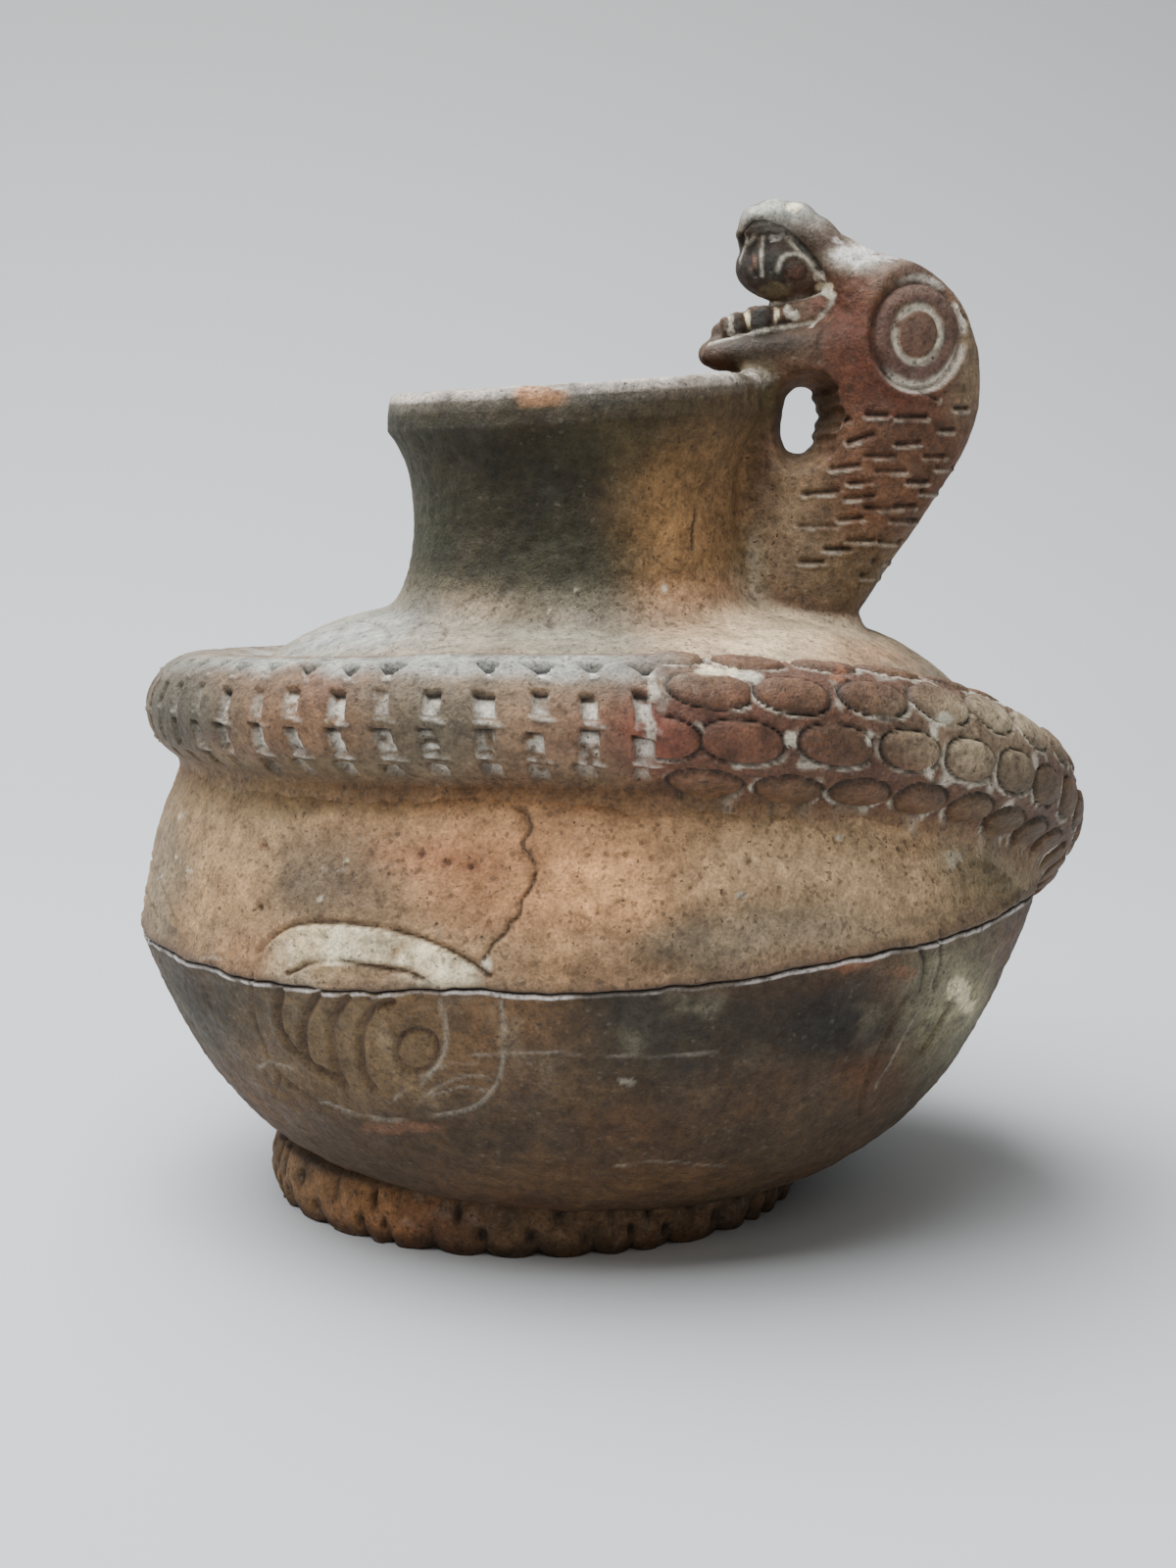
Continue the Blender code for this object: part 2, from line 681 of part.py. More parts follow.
def handle_hole():
    """Cutter for the hole between throat and neck, an hourglass along Y."""
    centre = drawn(*HOLE_PLACE)
    rings = []
    for y, flare in ((-1.0, 1.6), (-0.35, 1.0), (0.0, 0.0), (0.35, 1.0), (1.0, 1.6)):
        ring = []
        for i in range(HOLE_SIDES):
            turn = 2 * math.pi * i / HOLE_SIDES
            rise = (HOLE_HALF_HEIGHT + flare * HOLE_FLARE) * math.sin(turn)
            side = (HOLE_HALF_WIDTH + flare * HOLE_FLARE) * math.cos(turn)
            lean = HOLE_LEAN * rise
            ring.append(centre + Vector((side + lean, 0.5 * y * HOLE_CUT_LENGTH, rise)))
        rings.append(ring)
    return solid_from_rings("handle_hole", rings)


def middle_of(thing):
    """Middle of the box round a finished solid, at the level of the ground."""
    depsgraph = bpy.context.evaluated_depsgraph_get()
    corners = [Vector(corner) for corner in thing.evaluated_get(depsgraph).bound_box]
    low = [min(corner[k] for corner in corners) for k in range(2)]
    high = [max(corner[k] for corner in corners) for k in range(2)]
    return Vector((0.5 * (low[0] + high[0]), 0.5 * (low[1] + high[1]), 0.0))


def build():
    """Builds the vessel from its guides and sets the frame's origin under its middle."""
    clear_scene()
    vessel = turned("effigy_vessel", outer_profile, LATHE_SIDES)
    vessel.data.materials.append(clay())
    combine(vessel, foot_ring(), "UNION")
    combine(vessel, serpent_coil(), "UNION", "MANIFOLD")
    combine(vessel, turned("cavity", inner_profile, CAVITY_SIDES), "DIFFERENCE")
    modelled = [serpent_neck(), limb("upper_jaw", UPPER_JAW), limb("lower_jaw", LOWER_JAW)]
    modelled += [palate()] + teeth()
    for piece in modelled:
        combine(vessel, piece, "UNION", "MANIFOLD")
    for socket in eye_sockets():
        combine(vessel, socket, "DIFFERENCE", "MANIFOLD")
    combine(vessel, eyes(), "UNION", "MANIFOLD")
    combine(vessel, handle_hole(), "DIFFERENCE", "MANIFOLD")
    vessel.data.shade_smooth()
    vessel.data.set_sharp_from_angle(angle=math.radians(35))
    origin = bpy.data.objects.new("origin", None)
    bpy.context.scene.collection.objects.link(origin)
    shift = middle_of(vessel)
    for thing in bpy.context.scene.collection.objects:
        if thing.type == "MESH":
            thing.parent = origin
    origin.location = -shift


build()
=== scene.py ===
"""Looks of the effigy vessel: a hand-built jar of fired clay with a serpent coiled round it.

The surfaces are worked out in millimetres from the axis of the belly, with Z up, the serpent's
neck on the +X side and the front facing -Y. Azimuths run from +X towards +Y. Each call of noise and
its kin names the size of the lumps in millimetres and a seed of its own, and each call of ramp the
values between which a look comes in or goes out.
"""

import math

import bpy
import numpy as np
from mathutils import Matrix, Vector


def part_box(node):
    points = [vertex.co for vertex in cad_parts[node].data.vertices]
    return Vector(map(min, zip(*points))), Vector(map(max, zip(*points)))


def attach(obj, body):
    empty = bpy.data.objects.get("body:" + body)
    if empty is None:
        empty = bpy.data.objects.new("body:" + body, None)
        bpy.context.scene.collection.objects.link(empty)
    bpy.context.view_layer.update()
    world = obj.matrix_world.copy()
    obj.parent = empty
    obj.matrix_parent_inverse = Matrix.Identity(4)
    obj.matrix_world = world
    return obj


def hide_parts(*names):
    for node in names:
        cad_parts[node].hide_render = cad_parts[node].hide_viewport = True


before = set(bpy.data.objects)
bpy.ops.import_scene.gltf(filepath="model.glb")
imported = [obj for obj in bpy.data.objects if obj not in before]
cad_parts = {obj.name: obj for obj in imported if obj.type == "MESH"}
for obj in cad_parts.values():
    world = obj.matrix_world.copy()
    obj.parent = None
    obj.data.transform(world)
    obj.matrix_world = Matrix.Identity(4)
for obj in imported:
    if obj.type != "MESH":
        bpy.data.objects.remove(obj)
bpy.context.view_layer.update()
VESSEL = "effigy_vessel"
MM = 0.001

# Sizes of the jar, as the solid has them
BELLY_RADIUS = 100.1
SEAM_HEIGHT = 66.8
SEAM_RISE = 5.3
BOWL_UNDERSIDE = 3.5
DOME_TOP = 131.0
WALL = 7.0
BOWL_TURN = 1.15
DOME_TURN = 1.6
SQUARENESS = 4.0
NECK_OFFSET = -2.7
NECK_ROOT_RADIUS = 41.0
NECK_ROOT_HEIGHT = 129.5
WAIST_RADIUS = 36.0
WAIST_HEIGHT = 151.0
RIM_RADIUS = 41.9
RIM_HEIGHT = 180.0
RIM_RISE = 2.4
LIP_DROP = 8.5
NECK_WALL = 6.2
RIM_FLARE = 2.6
ROOT_FLARE = 2.2
ROOT_FILLET = 2.6
LIP_START = RIM_HEIGHT - LIP_DROP
LIP_HALF_HEIGHT = 0.45 * LIP_DROP
LIP_MIDDLE = RIM_HEIGHT - LIP_HALF_HEIGHT
LIP_MIDDLE_RADIUS = RIM_RADIUS - 0.5 * NECK_WALL
FOOT_RADIUS = 60.6
FOOT_WIDTH = 11.0
FOOT_HEIGHT = 13.0
FOOT_OFFSET = -12.1
FOOT_LOBES = 36
HIDDEN_UNDER_FOOT = 50.0

# The serpent's body: azimuth, climb from seam to dome, stand-off and thickness in coil radii
COIL_RADIUS = 12.6
COIL_ROUTE = [
    (24.0, 0.705, -0.67, 0.63),
    (55.0, 0.665, 0.0, 0.9),
    (90.0, 0.611, 0.32, 0.96),
    (135.0, 0.606, 0.33, 0.97),
    (180.0, 0.681, 0.32, 0.96),
    (225.0, 0.741, 0.51, 0.98),
    (270.0, 0.766, 0.62, 1.0),
    (305.0, 0.681, 0.57, 1.1),
    (322.0, 0.575, 0.4, 1.1),
    (337.0, 0.427, 0.16, 1.07),
    (350.0, 0.271, -0.06, 1.03),
    (361.0, 0.117, -0.19, 0.98),
    (371.0, -0.025, -0.19, 0.92),
    (382.0, -0.147, -0.17, 0.81),
    (394.0, -0.229, -0.16, 0.63),
    (404.0, -0.267, -0.16, 0.41),
]

# The serpent's neck and head, as the solid has them
HEAD_SET = 2.8
NECK_SECTIONS = [
    (-0.11, 22.8, 13.6),
    (-0.02, 23.9, 12.6),
    (0.18, 30.2, 12.0),
    (0.34, 35.6, 12.0),
    (0.51, 41.1, 12.4),
    (0.68, 45.8, 12.8),
    (0.86, 49.0, 13.4),
]
HEAD_SECTIONS = [
    (1.0, -7.0, 43.6, 13.8),
    (6.0, -4.0, 42.9, 14.2),
    (10.0, 3.0, 41.6, 14.6),
    (14.5, 9.0, 40.1, 14.4),
    (18.0, 10.5, 37.9, 13.4),
    (21.4, 11.5, 34.6, 11.4),
    (24.0, 13.5, 31.0, 8.6),
    (25.8, 15.5, 27.1, 5.4),
    (26.7, 18.5, 23.0, 2.6),
]
UPPER_JAW = [
    (20.0, 17.0, 8.5, 12.0),
    (12.1, 24.8, 5.6, 10.4),
    (7.1, 30.5, 4.3, 9.8),
    (2.9, 34.0, 3.9, 9.4),
    (-2.0, 35.8, 3.2, 8.8),
    (-6.4, 34.6, 2.6, 7.8),
    (-8.7, 31.6, 1.4, 6.2),
]
LOWER_JAW = [
    (22.0, 8.0, 7.5, 12.5),
    (11.0, 7.3, 5.8, 11.5),
    (1.6, 6.9, 4.6, 10.6),
    (-7.4, 6.3, 3.9, 9.4),
    (-14.0, 5.8, 3.4, 7.6),
    (-16.1, 5.6, 2.0, 4.6),
]
PALATE = (0.0, 24.4, 10.2, 7.3, 8.8)
TOOTH_FOOT = 8.0
EYE = (28.2, 9.8)
EYE_STRETCH = 1.16
HOLE_PLACE = (4.0, -8.6)
HOLE_HALF_WIDTH = 4.4
HOLE_HALF_HEIGHT = 8.0
HOLE_FLARE = 2.6

# The camera, and the picture that it takes
IMAGE_WIDTH = 1200
IMAGE_HEIGHT = 1600
FOCAL_PIXELS = 2650.0
SENSOR = 36.0
CAMERA_PLACE = np.array([-0.3, -576.3, 180.1])
CAMERA_DIP = math.radians(8.837)

# Distances from the camera to look for a surface in: nearest, farthest and step
WALL_DISTANCES = (430.0, 690.0, 1.0)
HEAD_DISTANCES = (520.0, 640.0, 0.4)

# Meshes on the jar: steps round the side that the picture shows, round the back and upward
BOWL_STEPS = (0.68, 1.8, 0.74)
BELLY_STEPS = (0.62, 1.6, 0.60)
SHOULDER_STEPS = (1.15, 2.2, 0.66)
HIDDEN_SPACING = 6.0
FINE_STEPS = 3001
PICTURE_AZIMUTH = 275
SHOWN_TO, HIDDEN_FROM = 72, 110
SPLIT_LAP = 0.03
SHOULDER_RELIEF = 0.8
CROWDED_ROWS = 5.0
MARK_REACH = 5.0

LOW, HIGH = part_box(VESSEL)
AXIS = np.array([LOW.x / MM + BELLY_RADIUS, LOW.y / MM + BELLY_RADIUS, 0.0])


# Repeatable roughness

def scatter(x, y, z, seed):
    """A repeatable value from 0 to 1 for each whole-number place."""
    n = (x * 73856093) ^ (y * 19349663) ^ (z * 83492791) ^ (seed * 50331653)
    n = n & 0xFFFFFFFF
    n = ((n ^ (n >> 16)) * 0x45D9F3B) & 0xFFFFFFFF
    n = ((n ^ (n >> 16)) * 0x45D9F3B) & 0xFFFFFFFF
    return (n ^ (n >> 16)) / 0xFFFFFFFF


def lots(number, row, seed, count):
    """Repeatable values from 0 to 1 for each numbered mark of a row."""
    return [scatter(number, row + 0 * number, 0 * number, seed + k) for k in range(count)]


def noise(points, size, seed):
    """Smooth random values from -1 to 1, with lumps of one size."""
    at = points / size
    cell = np.floor(at).astype(np.int64)
    part = at - cell
    part = part * part * (3 - 2 * part)
    value = np.zeros(len(points))
    for corner in np.ndindex(2, 2, 2):
        weight = np.prod(np.where(corner, part, 1 - part), axis=1)
        value += weight * scatter(*(cell + corner).T, seed)
    return 2 * value - 1


def layered(points, size, seed, layers=3):
    """Noise with finer and fainter noise on it."""
    value = np.zeros(len(points))
    for layer in range(layers):
        value += 0.5**layer * noise(points, size / 2**layer, seed + layer)
    return value / (2 - 0.5 ** (layers - 1))


def pits(points, size, seed, share):
    """How deep each point is in scattered round pits, from 0 to 1."""
    at = points / size
    cell = np.floor(at).astype(np.int64)
    deepest = np.zeros(len(points))
    for offset in np.ndindex(3, 3, 3):
        near = cell + np.array(offset) - 1
        here = [scatter(*near.T, seed + k) for k in range(5)]
        apart = at - near - np.stack(here[:3], axis=1)
        radius = 0.15 + 0.35 * here[3]
        depth = 1 - (apart**2).sum(axis=1) / radius**2
        deepest = np.maximum(deepest, np.where(here[4] < share, depth, 0))
    return deepest


def ramp(value, start, end):
    """A smooth climb from 0 to 1 as a value goes from start to end."""
    t = np.clip((value - start) / (end - start), 0, 1)
    return t * t * (3 - 2 * t)


def blend_min(a, b, reach):
    """The smaller of two distances, with a fillet where they are close."""
    h = np.maximum(reach - np.abs(a - b), 0) / reach
    return np.minimum(a, b) - 0.25 * reach * h * h


def blend_max(a, b, reach):
    """The larger of two distances, with a round edge where they are close."""
    return -blend_min(-a, -b, reach)


def bell(value, width, middle=0.0, power=2):
    """A smooth hump, 1 at its middle."""
    return np.exp(-(((value - middle) / width) ** power))


def apart(degrees, middle):
    """How many degrees lie between directions, from 0 to 180."""
    return np.abs((degrees - middle + 180) % 360 - 180)


def unit(vectors):
    """The same directions, 1 long."""
    return vectors / np.maximum(np.linalg.norm(vectors, axis=-1, keepdims=True), 1e-9)


def running(steps):
    """The total before each step and after the last."""
    return np.concatenate([[0], np.cumsum(steps)])


def through(stations, at):
    """Reads every column of a table of stations at many places, along smooth curves."""
    table = np.array(stations)
    last = len(table) - 2
    i = np.clip(np.searchsorted(table[:, 0], at, side="right") - 1, 0, last)
    before = table[np.maximum(i - 1, 0)]
    start = table[i]
    end = table[i + 1]
    after = table[np.minimum(i + 2, last + 1)]
    span = (end[:, 0] - start[:, 0])[:, None]
    t = np.clip((at - start[:, 0])[:, None] / span, 0, 1)
    slope_in = (end - before) / (end[:, :1] - before[:, :1]) * span
    slope_out = (after - start) / (after[:, :1] - start[:, :1]) * span
    curve = (2 * t**3 - 3 * t**2 + 1) * start + (t**3 - 2 * t**2 + t) * slope_in
    curve += (3 * t**2 - 2 * t**3) * end + (t**3 - t**2) * slope_out
    return curve[:, 1:].T


# The picture's rays

FORWARD = np.array([0.0, math.cos(CAMERA_DIP), -math.sin(CAMERA_DIP)])
UPWARD = np.array([0.0, math.sin(CAMERA_DIP), math.cos(CAMERA_DIP)])


def pixels_of(points):
    """Where points show in the picture, in its pixels."""
    away = points - CAMERA_PLACE
    depth = away @ FORWARD
    x = 0.5 * IMAGE_WIDTH + FOCAL_PIXELS * away[:, 0] / depth
    y = 0.5 * IMAGE_HEIGHT - FOCAL_PIXELS * (away @ UPWARD) / depth
    return x, y


def rays(pixels):
    """Directions of the rays through pixels of the picture."""
    pixels = np.array(pixels, dtype=float)
    side = (pixels[:, 0] - 0.5 * IMAGE_WIDTH) / FOCAL_PIXELS
    rise = (0.5 * IMAGE_HEIGHT - pixels[:, 1]) / FOCAL_PIXELS
    return unit(FORWARD + side[:, None] * np.array([1.0, 0.0, 0.0]) + rise[:, None] * UPWARD)


# Form of the jar

def seam_height(azimuth):
    return SEAM_HEIGHT + SEAM_RISE * np.cos(azimuth)


def rounded(share, turn):
    """Radius of the belly at a share of the way from the seam to an end."""
    return BELLY_RADIUS * (1 - np.clip(share, 0, 1) ** turn) ** (1 / SQUARENESS)


def neck_radius(height):
    """Outer radius of the jar's neck."""
    above = np.clip((height - WAIST_HEIGHT) / (LIP_START - WAIST_HEIGHT), 0, 1)
    below = np.clip((WAIST_HEIGHT - height) / (WAIST_HEIGHT - NECK_ROOT_HEIGHT), 0, 1.3)
    flare = (RIM_RADIUS - WAIST_RADIUS) * above**RIM_FLARE
    return WAIST_RADIUS + flare + (NECK_ROOT_RADIUS - WAIST_RADIUS) * below**ROOT_FLARE


def evenly(curve, start, end, spacing):
    """Shares between two limits that space points evenly along a curve of radius and height."""
    fine = np.linspace(0, 1, FINE_STEPS) ** 2
    fine = start + (end - start) * fine
    x, y = curve(fine)
    travel = running(np.hypot(np.diff(x), np.diff(y)))
    count = int(round(travel[-1] / spacing)) + 1
    return np.interp(np.linspace(0, travel[-1], count), travel, fine)


def bowl_curve(share):
    """The bowl from the middle of its underside, at 0, to the seam, at 1."""
    return rounded(1 - share, BOWL_TURN), BOWL_UNDERSIDE + share * (SEAM_HEIGHT - BOWL_UNDERSIDE)


def dome_at(share, azimuth):
    """Radius and height of the dome at a share of the climb from the tilted seam."""
    seam = seam_height(azimuth)
    return rounded(share, DOME_TURN), seam + share * (DOME_TOP - seam)


def lining_radius(share, turn):
    """Radius of the hollow at a share of the way from the seam to an end."""
    return rounded(share, turn) * (BELLY_RADIUS - WALL) / BELLY_RADIUS


def dome_curve(share):
    """The dome from the seam, at 0, to its top, at 1."""
    return rounded(share, DOME_TURN), SEAM_HEIGHT + share * (DOME_TOP - SEAM_HEIGHT)


DOME_END = (1 - (NECK_ROOT_RADIUS / BELLY_RADIUS) ** SQUARENESS) ** (1 / DOME_TURN)
BOWL_SHOWS = 1 - (1 - (HIDDEN_UNDER_FOOT / BELLY_RADIUS) ** SQUARENESS) ** (1 / BOWL_TURN)


def split_share(azimuth):
    """Where the belly gives way to the shoulder: a line that runs under the coil."""
    degrees = np.degrees(azimuth) % 360
    turned = np.where(degrees < 55, degrees + 360, degrees)
    climb = through(COIL_ROUTE, np.clip(turned, 55, 350))[0]
    start, end = through(COIL_ROUTE, np.array([350.0, 55.0]))[0]
    passed = ramp(turned, 350, 415)
    return np.where(turned > 350, start + (end - start) * passed, climb)


FRONT_SPLIT = float(split_share(np.array([1.5 * math.pi]))[0])


def bowl_rows(azimuth, spacing):
    """Radius and height of the bowl's outside: rows for the hidden underside and what shows."""
    shares = np.concatenate([
        evenly(bowl_curve, 0.0, BOWL_SHOWS, HIDDEN_SPACING)[1:-1],
        evenly(bowl_curve, BOWL_SHOWS, 1.0, spacing),
    ])[:, None]
    seam = seam_height(azimuth)
    height = BOWL_UNDERSIDE + shares * (seam - BOWL_UNDERSIDE)
    return rounded(1 - shares, BOWL_TURN) + 0 * height, height


def belly_rows(azimuth, spacing):
    """The upper half from the seam to just past the line under the coil."""
    shares = evenly(dome_curve, 0.0, 1.03 * FRONT_SPLIT, spacing)
    return dome_at(shares[:, None] / shares[-1] * (split_share(azimuth) + SPLIT_LAP), azimuth)


def shoulder_rows(azimuth, spacing):
    """From the line under the coil over the shoulder and up the neck to where the lip begins."""
    split = split_share(azimuth)
    shares = evenly(dome_curve, FRONT_SPLIT, DOME_END, spacing)
    shares = (shares[:, None] - FRONT_SPLIT) / (DOME_END - FRONT_SPLIT)
    dome = dome_at(split + shares * (DOME_END - split), azimuth)
    start = dome[1][-1:].mean()
    heights = np.arange(start + spacing, LIP_START + 3.5, spacing)[:, None]
    share = (heights - NECK_ROOT_HEIGHT) / (LIP_START - NECK_ROOT_HEIGHT)
    tilt = RIM_RISE * np.cos(azimuth) * share
    neck = neck_radius(heights) + 0 * tilt, heights + tilt
    radius = np.concatenate([dome[0], neck[0]])
    height = np.concatenate([dome[1], neck[1]])
    root = len(shares)
    reach = int(round(9.0 / spacing))
    kernel = np.exp(-0.5 * (np.arange(-reach, reach + 1) * spacing / ROOT_FILLET) ** 2)
    kernel /= kernel.sum()
    low = max(root - 3 * reach, reach)
    high = root + 3 * reach
    near = np.clip(np.arange(low, high)[:, None] + np.arange(-reach, reach + 1), 0, len(radius) - 1)
    blend = np.minimum(1, np.minimum(np.arange(high - low), np.arange(high - low)[::-1]) / reach)
    for values in (radius, height):
        smooth = np.einsum("k,rkc->rc", kernel, values[near])
        values[low:high] += blend[:, None] * (smooth - values[low:high])
    return radius, height


def neck_shift(height):
    """How far the neck's axis stands from the belly's."""
    return NECK_OFFSET * ramp(height, 122.0, 134.0)


def place(radius, height, azimuth):
    """Points round the jar's axis, which shifts where the neck begins."""
    x = neck_shift(height) + radius * np.cos(azimuth)
    return np.stack([x, radius * np.sin(azimuth) + 0 * x, height + 0 * x], axis=-1)


TABLE_STEP = 0.5
TABLE_HEIGHTS = np.arange(BOWL_UNDERSIDE, RIM_HEIGHT + 3.0, TABLE_STEP)
TABLE_AZIMUTHS = np.linspace(0, 2 * math.pi, 361)[:-1]


def wall_table():
    """Outer radius of the jar at regular heights and azimuths."""
    parts = [rows(TABLE_AZIMUTHS, 0.8) for rows in (bowl_rows, belly_rows, shoulder_rows)]
    table = np.zeros((len(TABLE_AZIMUTHS), len(TABLE_HEIGHTS)))
    for i in range(len(TABLE_AZIMUTHS)):
        radius = np.concatenate([part[0][:, i] for part in parts])
        height = np.concatenate([part[1][:, i] for part in parts])
        order = np.argsort(height)
        table[i] = np.interp(TABLE_HEIGHTS, height[order], radius[order])
    return table


WALL_TABLE = wall_table()


def wall_radius(points):
    """Outer radius of the jar beside each point, and how it changes with height."""
    height = points[:, 2]
    azimuth = np.arctan2(points[:, 1], points[:, 0] - neck_shift(height)) % (2 * math.pi)
    at = azimuth / (2 * math.pi) * len(TABLE_AZIMUTHS)
    i = np.floor(at).astype(int)
    s = at - i
    up = np.clip((height - TABLE_HEIGHTS[0]) / TABLE_STEP, 0, len(TABLE_HEIGHTS) - 1.001)
    j = np.floor(up).astype(int)
    t = up - j
    here, beside = i % len(WALL_TABLE), (i + 1) % len(WALL_TABLE)
    low, high = [(1 - s) * WALL_TABLE[here, k] + s * WALL_TABLE[beside, k] for k in (j, j + 1)]
    return (1 - t) * low + t * high, (high - low) / TABLE_STEP


def off_wall(points):
    """Distance of points from the jar's outside, negative within it."""
    radius, slope = wall_radius(points)
    reach = np.hypot(points[:, 0] - neck_shift(points[:, 2]), points[:, 1])
    return (reach - radius) / np.sqrt(1 + slope**2)


def on_wall(pixels):
    """Where the picture's pixels fall on the outside of the jar."""
    ray = rays(pixels)
    steps = np.arange(*WALL_DISTANCES)
    points = CAMERA_PLACE + ray[:, None, :] * steps[None, :, None]
    off = off_wall(points.reshape(-1, 3)).reshape(len(ray), -1)
    first = np.argmax(off < 0, axis=1)
    first = np.where(first == 0, len(steps) - 1, first)
    index = np.arange(len(ray))
    before = off[index, first - 1]
    after = off[index, first]
    t = steps[first - 1] + (steps[first] - steps[first - 1]) * before / (before - after)
    return CAMERA_PLACE + ray * t[:, None]


# Colours of the clay

ORANGE = np.array([0.50, 0.245, 0.115])
TAN = np.array([0.40, 0.275, 0.165])
BROWN = np.array([0.215, 0.125, 0.070])
DARK_BROWN = np.array([0.110, 0.066, 0.040])
OLIVE = np.array([0.170, 0.135, 0.070])
GREY = np.array([0.235, 0.200, 0.160])
SOOT = np.array([0.055, 0.050, 0.040])
BLACK = np.array([0.022, 0.021, 0.018])
MAROON = np.array([0.175, 0.074, 0.046])
RUST = np.array([0.300, 0.120, 0.060])
CREAM = np.array([0.970, 0.840, 0.560])
PALE = np.array([0.700, 0.640, 0.510])
LILAC = np.array([0.760, 0.690, 0.640])
DUST = np.array([0.420, 0.375, 0.300])
SHADE = np.array([0.140, 0.062, 0.018])

# How the parts of the jar differ in tone as a whole
# The bowl's low tone is partly its darker clay and partly painted shade, as the bowl faces
# downward.
BOWL_TONE = np.array([0.47, 0.46, 0.35])
BELLY_TONE = np.array([0.97, 0.93, 0.78])
SHOULDER_TONE = np.array([1.14, 1.16, 1.10])
NECK_TONE = np.array([0.50, 0.53, 0.40])
FOOT_TONE = np.array([0.72, 0.68, 0.54])
COIL_TONE = np.array([0.80, 0.78, 0.68])
HEAD_TONE = np.array([0.72, 0.70, 0.60])


# Marks on the jar. Each is a line through pixels of the picture, with its half width and depth
# in millimetres, the colour that lies in it and how strong that is. The dark brown in the cuts is
# painted shade; the dust in the clay-filled lines and scratches is the clay's own.

SCOOP = (0.80, 1.5, DARK_BROWN, 0.85)
CUT = (0.50, 1.1, DARK_BROWN, 0.90)
FINE_CUT = (0.40, 0.7, DARK_BROWN, 0.75)
CLAYED = (0.36, 0.5, DUST, 0.60)
SCRATCH = (0.26, 0.22, DUST, 0.42)

CRESCENT = [
    (CUT, [(260, 972), (279, 953), (299, 943), (346, 941), (389, 947), (425, 956), (454, 968),
           (479, 982), (498, 996)]),
    (CUT, [(293, 994), (311, 984), (325, 981), (337, 980), (369, 984), (394, 989), (413, 992),
           (430, 1000)]),
]
SLIP_EDGE = [(250, 985), (262, 968), (281, 951), (300, 942), (346, 940), (389, 946), (425, 955),
             (454, 967), (479, 981), (500, 996)]
OVAL = [
    (FINE_CUT, [(256, 994), (254, 1016), (257, 1042), (267, 1067), (279, 1090), (299, 1109),
                (324, 1123)]),
    (CLAYED, [(324, 1123), (364, 1138), (407, 1145), (454, 1139), (484, 1131), (506, 1109),
              (512, 1086), (514, 1063), (512, 1036), (508, 1014)]),
    (SCOOP, [(285, 1012), (281, 1036), (286, 1055), (299, 1072), (312, 1084)]),
    (SCOOP, [(322, 1015), (309, 1041), (308, 1068), (318, 1088), (340, 1100)]),
    (SCOOP, [(352, 1020), (338, 1040), (336, 1063), (341, 1088), (350, 1108)]),
    (SCOOP, [(398, 1024), (378, 1031), (367, 1050), (366, 1077), (371, 1099), (380, 1112)]),
    (CLAYED, [(447, 1024), (453, 1050), (452, 1075), (441, 1095), (427, 1109)]),
]
OVAL_CENTRE = (424, 1074)
OVAL_RING = 21
SECOND_OVAL = [
    (CUT, [(926, 1022), (909, 1053), (895, 1081), (881, 1115), (878, 1136)]),
    (CLAYED, [(952, 1019), (933, 1046), (912, 1084), (895, 1112)]),
    (SCOOP, [(971, 1029), (957, 1050), (943, 1074)]),
]
SCRATCHES = [
    (SCRATCH, [(480, 1080), (540, 1076), (600, 1079), (665, 1080), (732, 1076)]),
    (SCRATCH, [(400, 1125), (426, 1103), (452, 1090), (487, 1088)]),
    (SCRATCH, [(425, 1128), (447, 1111), (478, 1100), (500, 1103)]),
    (SCRATCH, [(327, 884), (338, 889), (352, 886)]),
    (SCRATCH, [(440, 1120), (470, 1112), (496, 1116)]),
    (CLAYED, [(262, 1090), (277, 1086), (297, 1092)]),
    (FINE_CUT, [(282, 1092), (284, 1106), (279, 1120)]),
    (FINE_CUT, [(340, 650), (352, 638), (372, 634), (392, 640), (398, 651)]),
    (FINE_CUT, [(424, 655), (420, 645), (430, 637), (446, 636), (456, 643), (452, 653)]),
    (SCRATCH, [(352, 652), (366, 640), (382, 636)]),
    (SCRATCH, [(600, 806), (640, 800), (690, 806), (720, 803)]),
    (SCRATCH, [(628, 1190), (680, 1186), (742, 1191)]),
]
CRACKS = [
    [(521, 809), (529, 825), (539, 831), (540, 841), (536, 863), (546, 881)],
    [(546, 891), (543, 902), (532, 920), (529, 931), (518, 941), (514, 952), (502, 966),
     (491, 981)],
    [(943, 964), (946, 985), (941, 1012)],
    [(962, 950), (963, 982), (960, 1012)],
    [(709, 525), (708, 542), (709, 559)],
    [(600, 804), (632, 801), (676, 806), (722, 802)],
]

# Pits: where they are in the picture, and their size in its pixels
PITS = [
    (766, 879, 4), (918, 865, 3), (267, 796, 3), (352, 809, 3), (755, 553, 6), (729, 550, 3),
    (374, 1021, 4), (562, 638, 4), (738, 635, 4), (799, 619, 3), (268, 862, 5), (262, 926, 5),
    (640, 872, 3), (705, 905, 3), (456, 880, 5), (430, 872, 4), (480, 884, 4), (758, 914, 3),
    (688, 893, 3), (610, 932, 3), (826, 905, 2), (893, 878, 2), (560, 955, 3), (402, 905, 3),
]
BACK_OVAL_AZIMUTHS = (200.0, 92.0, 20.0)


def smooth_line(pixels, step=3.0):
    """A curve through a few pixels, in short steps."""
    pixels = np.array(pixels, dtype=float)
    travel = running(np.hypot(*np.diff(pixels, axis=0).T))
    table = np.column_stack([travel, pixels])
    at = np.linspace(0, travel[-1], max(int(travel[-1] / step), 2))
    return through(table, at).T


def ring_pixels(x, y, radius):
    turn = np.linspace(0, 2 * math.pi, 25)
    return np.column_stack([x + radius * np.cos(turn), y + radius * np.sin(turn)])


